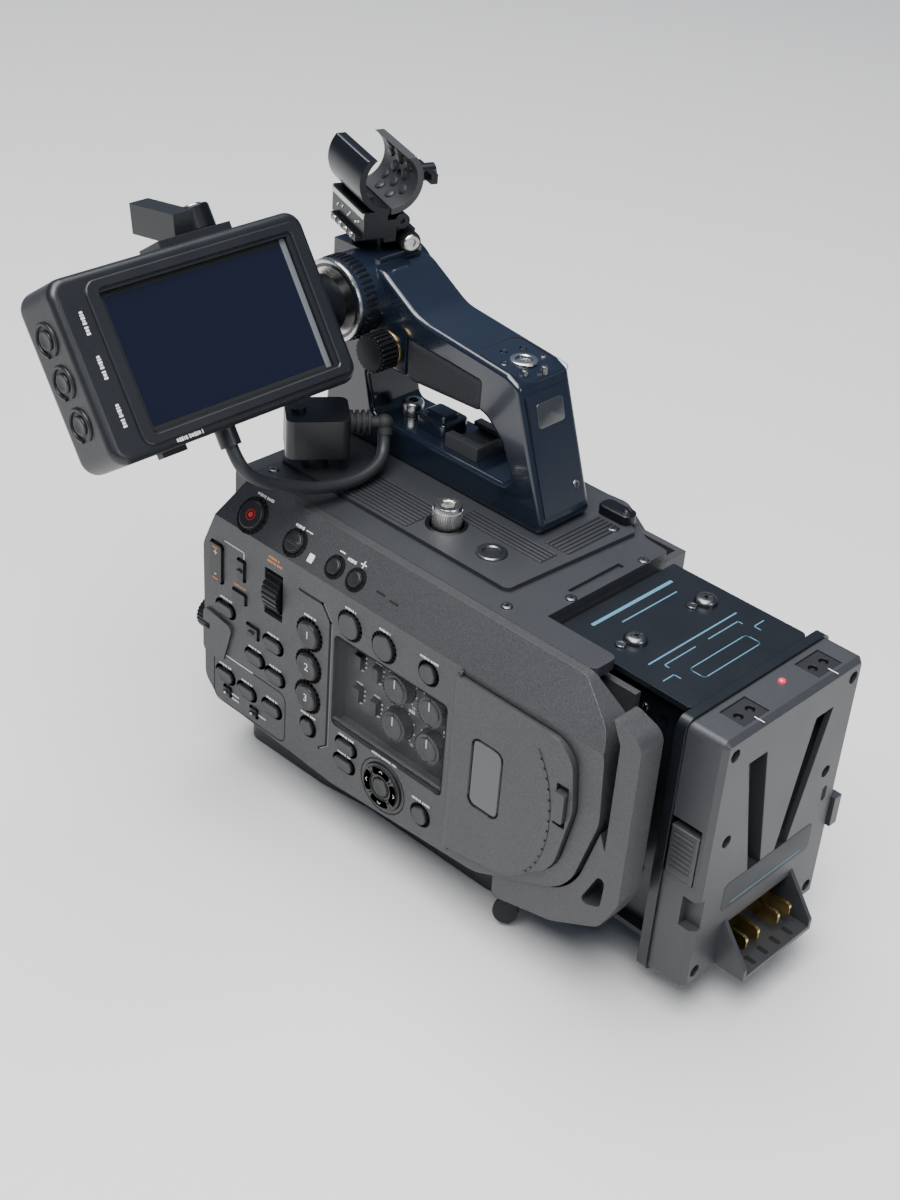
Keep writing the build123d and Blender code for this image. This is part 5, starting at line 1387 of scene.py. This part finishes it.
# ---------------------------------------------------------------- studio
@dataclass
class Studio:
    """Pale floor, soft lights and the camera."""

    eye: tuple[float, float, float] = (403.0, -483.5, 512.7)
    right: tuple[float, float, float] = (0.7116, 0.6994, 0.0674)
    look: tuple[float, float, float] = (-0.5602, 0.6226, -0.5464)
    lens: float = 55.54
    aim: tuple[float, float, float] = (0, 0, 0.1)
    floor_half: float = 6000.0
    floor_z: float = -0.3
    sky: tuple[float, float, float] = (0.50, 0.66, 1.0)
    sky_strength: float = 0.22

    def build(self) -> None:
        """Sets the stage."""
        self.build_floor()
        self.build_lights()
        self.build_camera()

    def build_floor(self) -> None:
        """Broad, flat, pale floor."""
        bm = bmesh.new()
        corners = ((-1, -1), (1, -1), (1, 1), (-1, 1))
        bm.faces.new([bm.verts.new((x * self.floor_half, y * self.floor_half, self.floor_z))
                      for x, y in corners])
        bm.transform(Matrix.Scale(MM, 4))
        mesh = as_mesh("studio_floor", bm)
        mesh.materials.append(Finish("pale table top", (0.72, 0.71, 0.69), 0.5, soften=0.0).material())
        floor = show("studio_floor", mesh)

    def build_lights(self) -> None:
        """Soft boxes from above and an even sky."""
        world = bpy.context.scene.world or bpy.data.worlds.new("studio")
        bpy.context.scene.world = world
        world.use_nodes = True
        sky = world.node_tree.nodes["Background"]
        sky.inputs["Color"].default_value = (*self.sky, 1)
        sky.inputs["Strength"].default_value = self.sky_strength
        boxes = (("key", (0.3, -0.8, 1.8), 1.3, 62.0), ("fill", (1.6, 0.1, 1.0), 0.6, 8.0),
                 ("top", (-0.5, 0.2, 2.3), 1.6, 62.0))
        for name, at, size, power in boxes:
            light = bpy.data.lights.new(f"{name}_softbox", "AREA")
            light.energy = power
            light.size = size
            made = show(f"{name}_softbox", light)
            made.location = at
            made.rotation_euler = (Vector(self.aim) - Vector(at)).to_track_quat("-Z", "Y").to_euler()

    def build_camera(self) -> None:
        """Camera at a three-quarter view from the rear left, above."""
        data = bpy.data.cameras.new("view")
        data.sensor_fit = "VERTICAL"
        data.sensor_height = 36.0
        data.lens = self.lens
        data.clip_start = 0.02
        camera = show("view", data)
        camera.matrix_world = self.stand()
        bpy.context.scene.camera = camera

    def stand(self) -> Matrix:
        """Works out the camera's place and turn.

        Returns:
            The camera's matrix, in metres.
        """
        away = -Vector(self.look).normalized()
        side = Vector(self.right)
        side = (side - side.dot(away) * away).normalized()
        up = away.cross(side)
        at = Vector(self.eye) * MM
        return Matrix(((side.x, up.x, away.x, at.x), (side.y, up.y, away.y, at.y),
                       (side.z, up.z, away.z, at.z), (0, 0, 0, 1)))


def main() -> None:
    """Builds the rig in order."""
    logging.basicConfig(level=logging.INFO, format="%(name)s %(message)s")
    for part in (Studio(), Monitor(), OperatorPanel(), BodyShell(), TopHandle(), MicHolder(),
                 BatteryAdapter()):
        log.info("building %s", type(part).__name__)
        part.build()


if __name__ == "__main__":
    main()
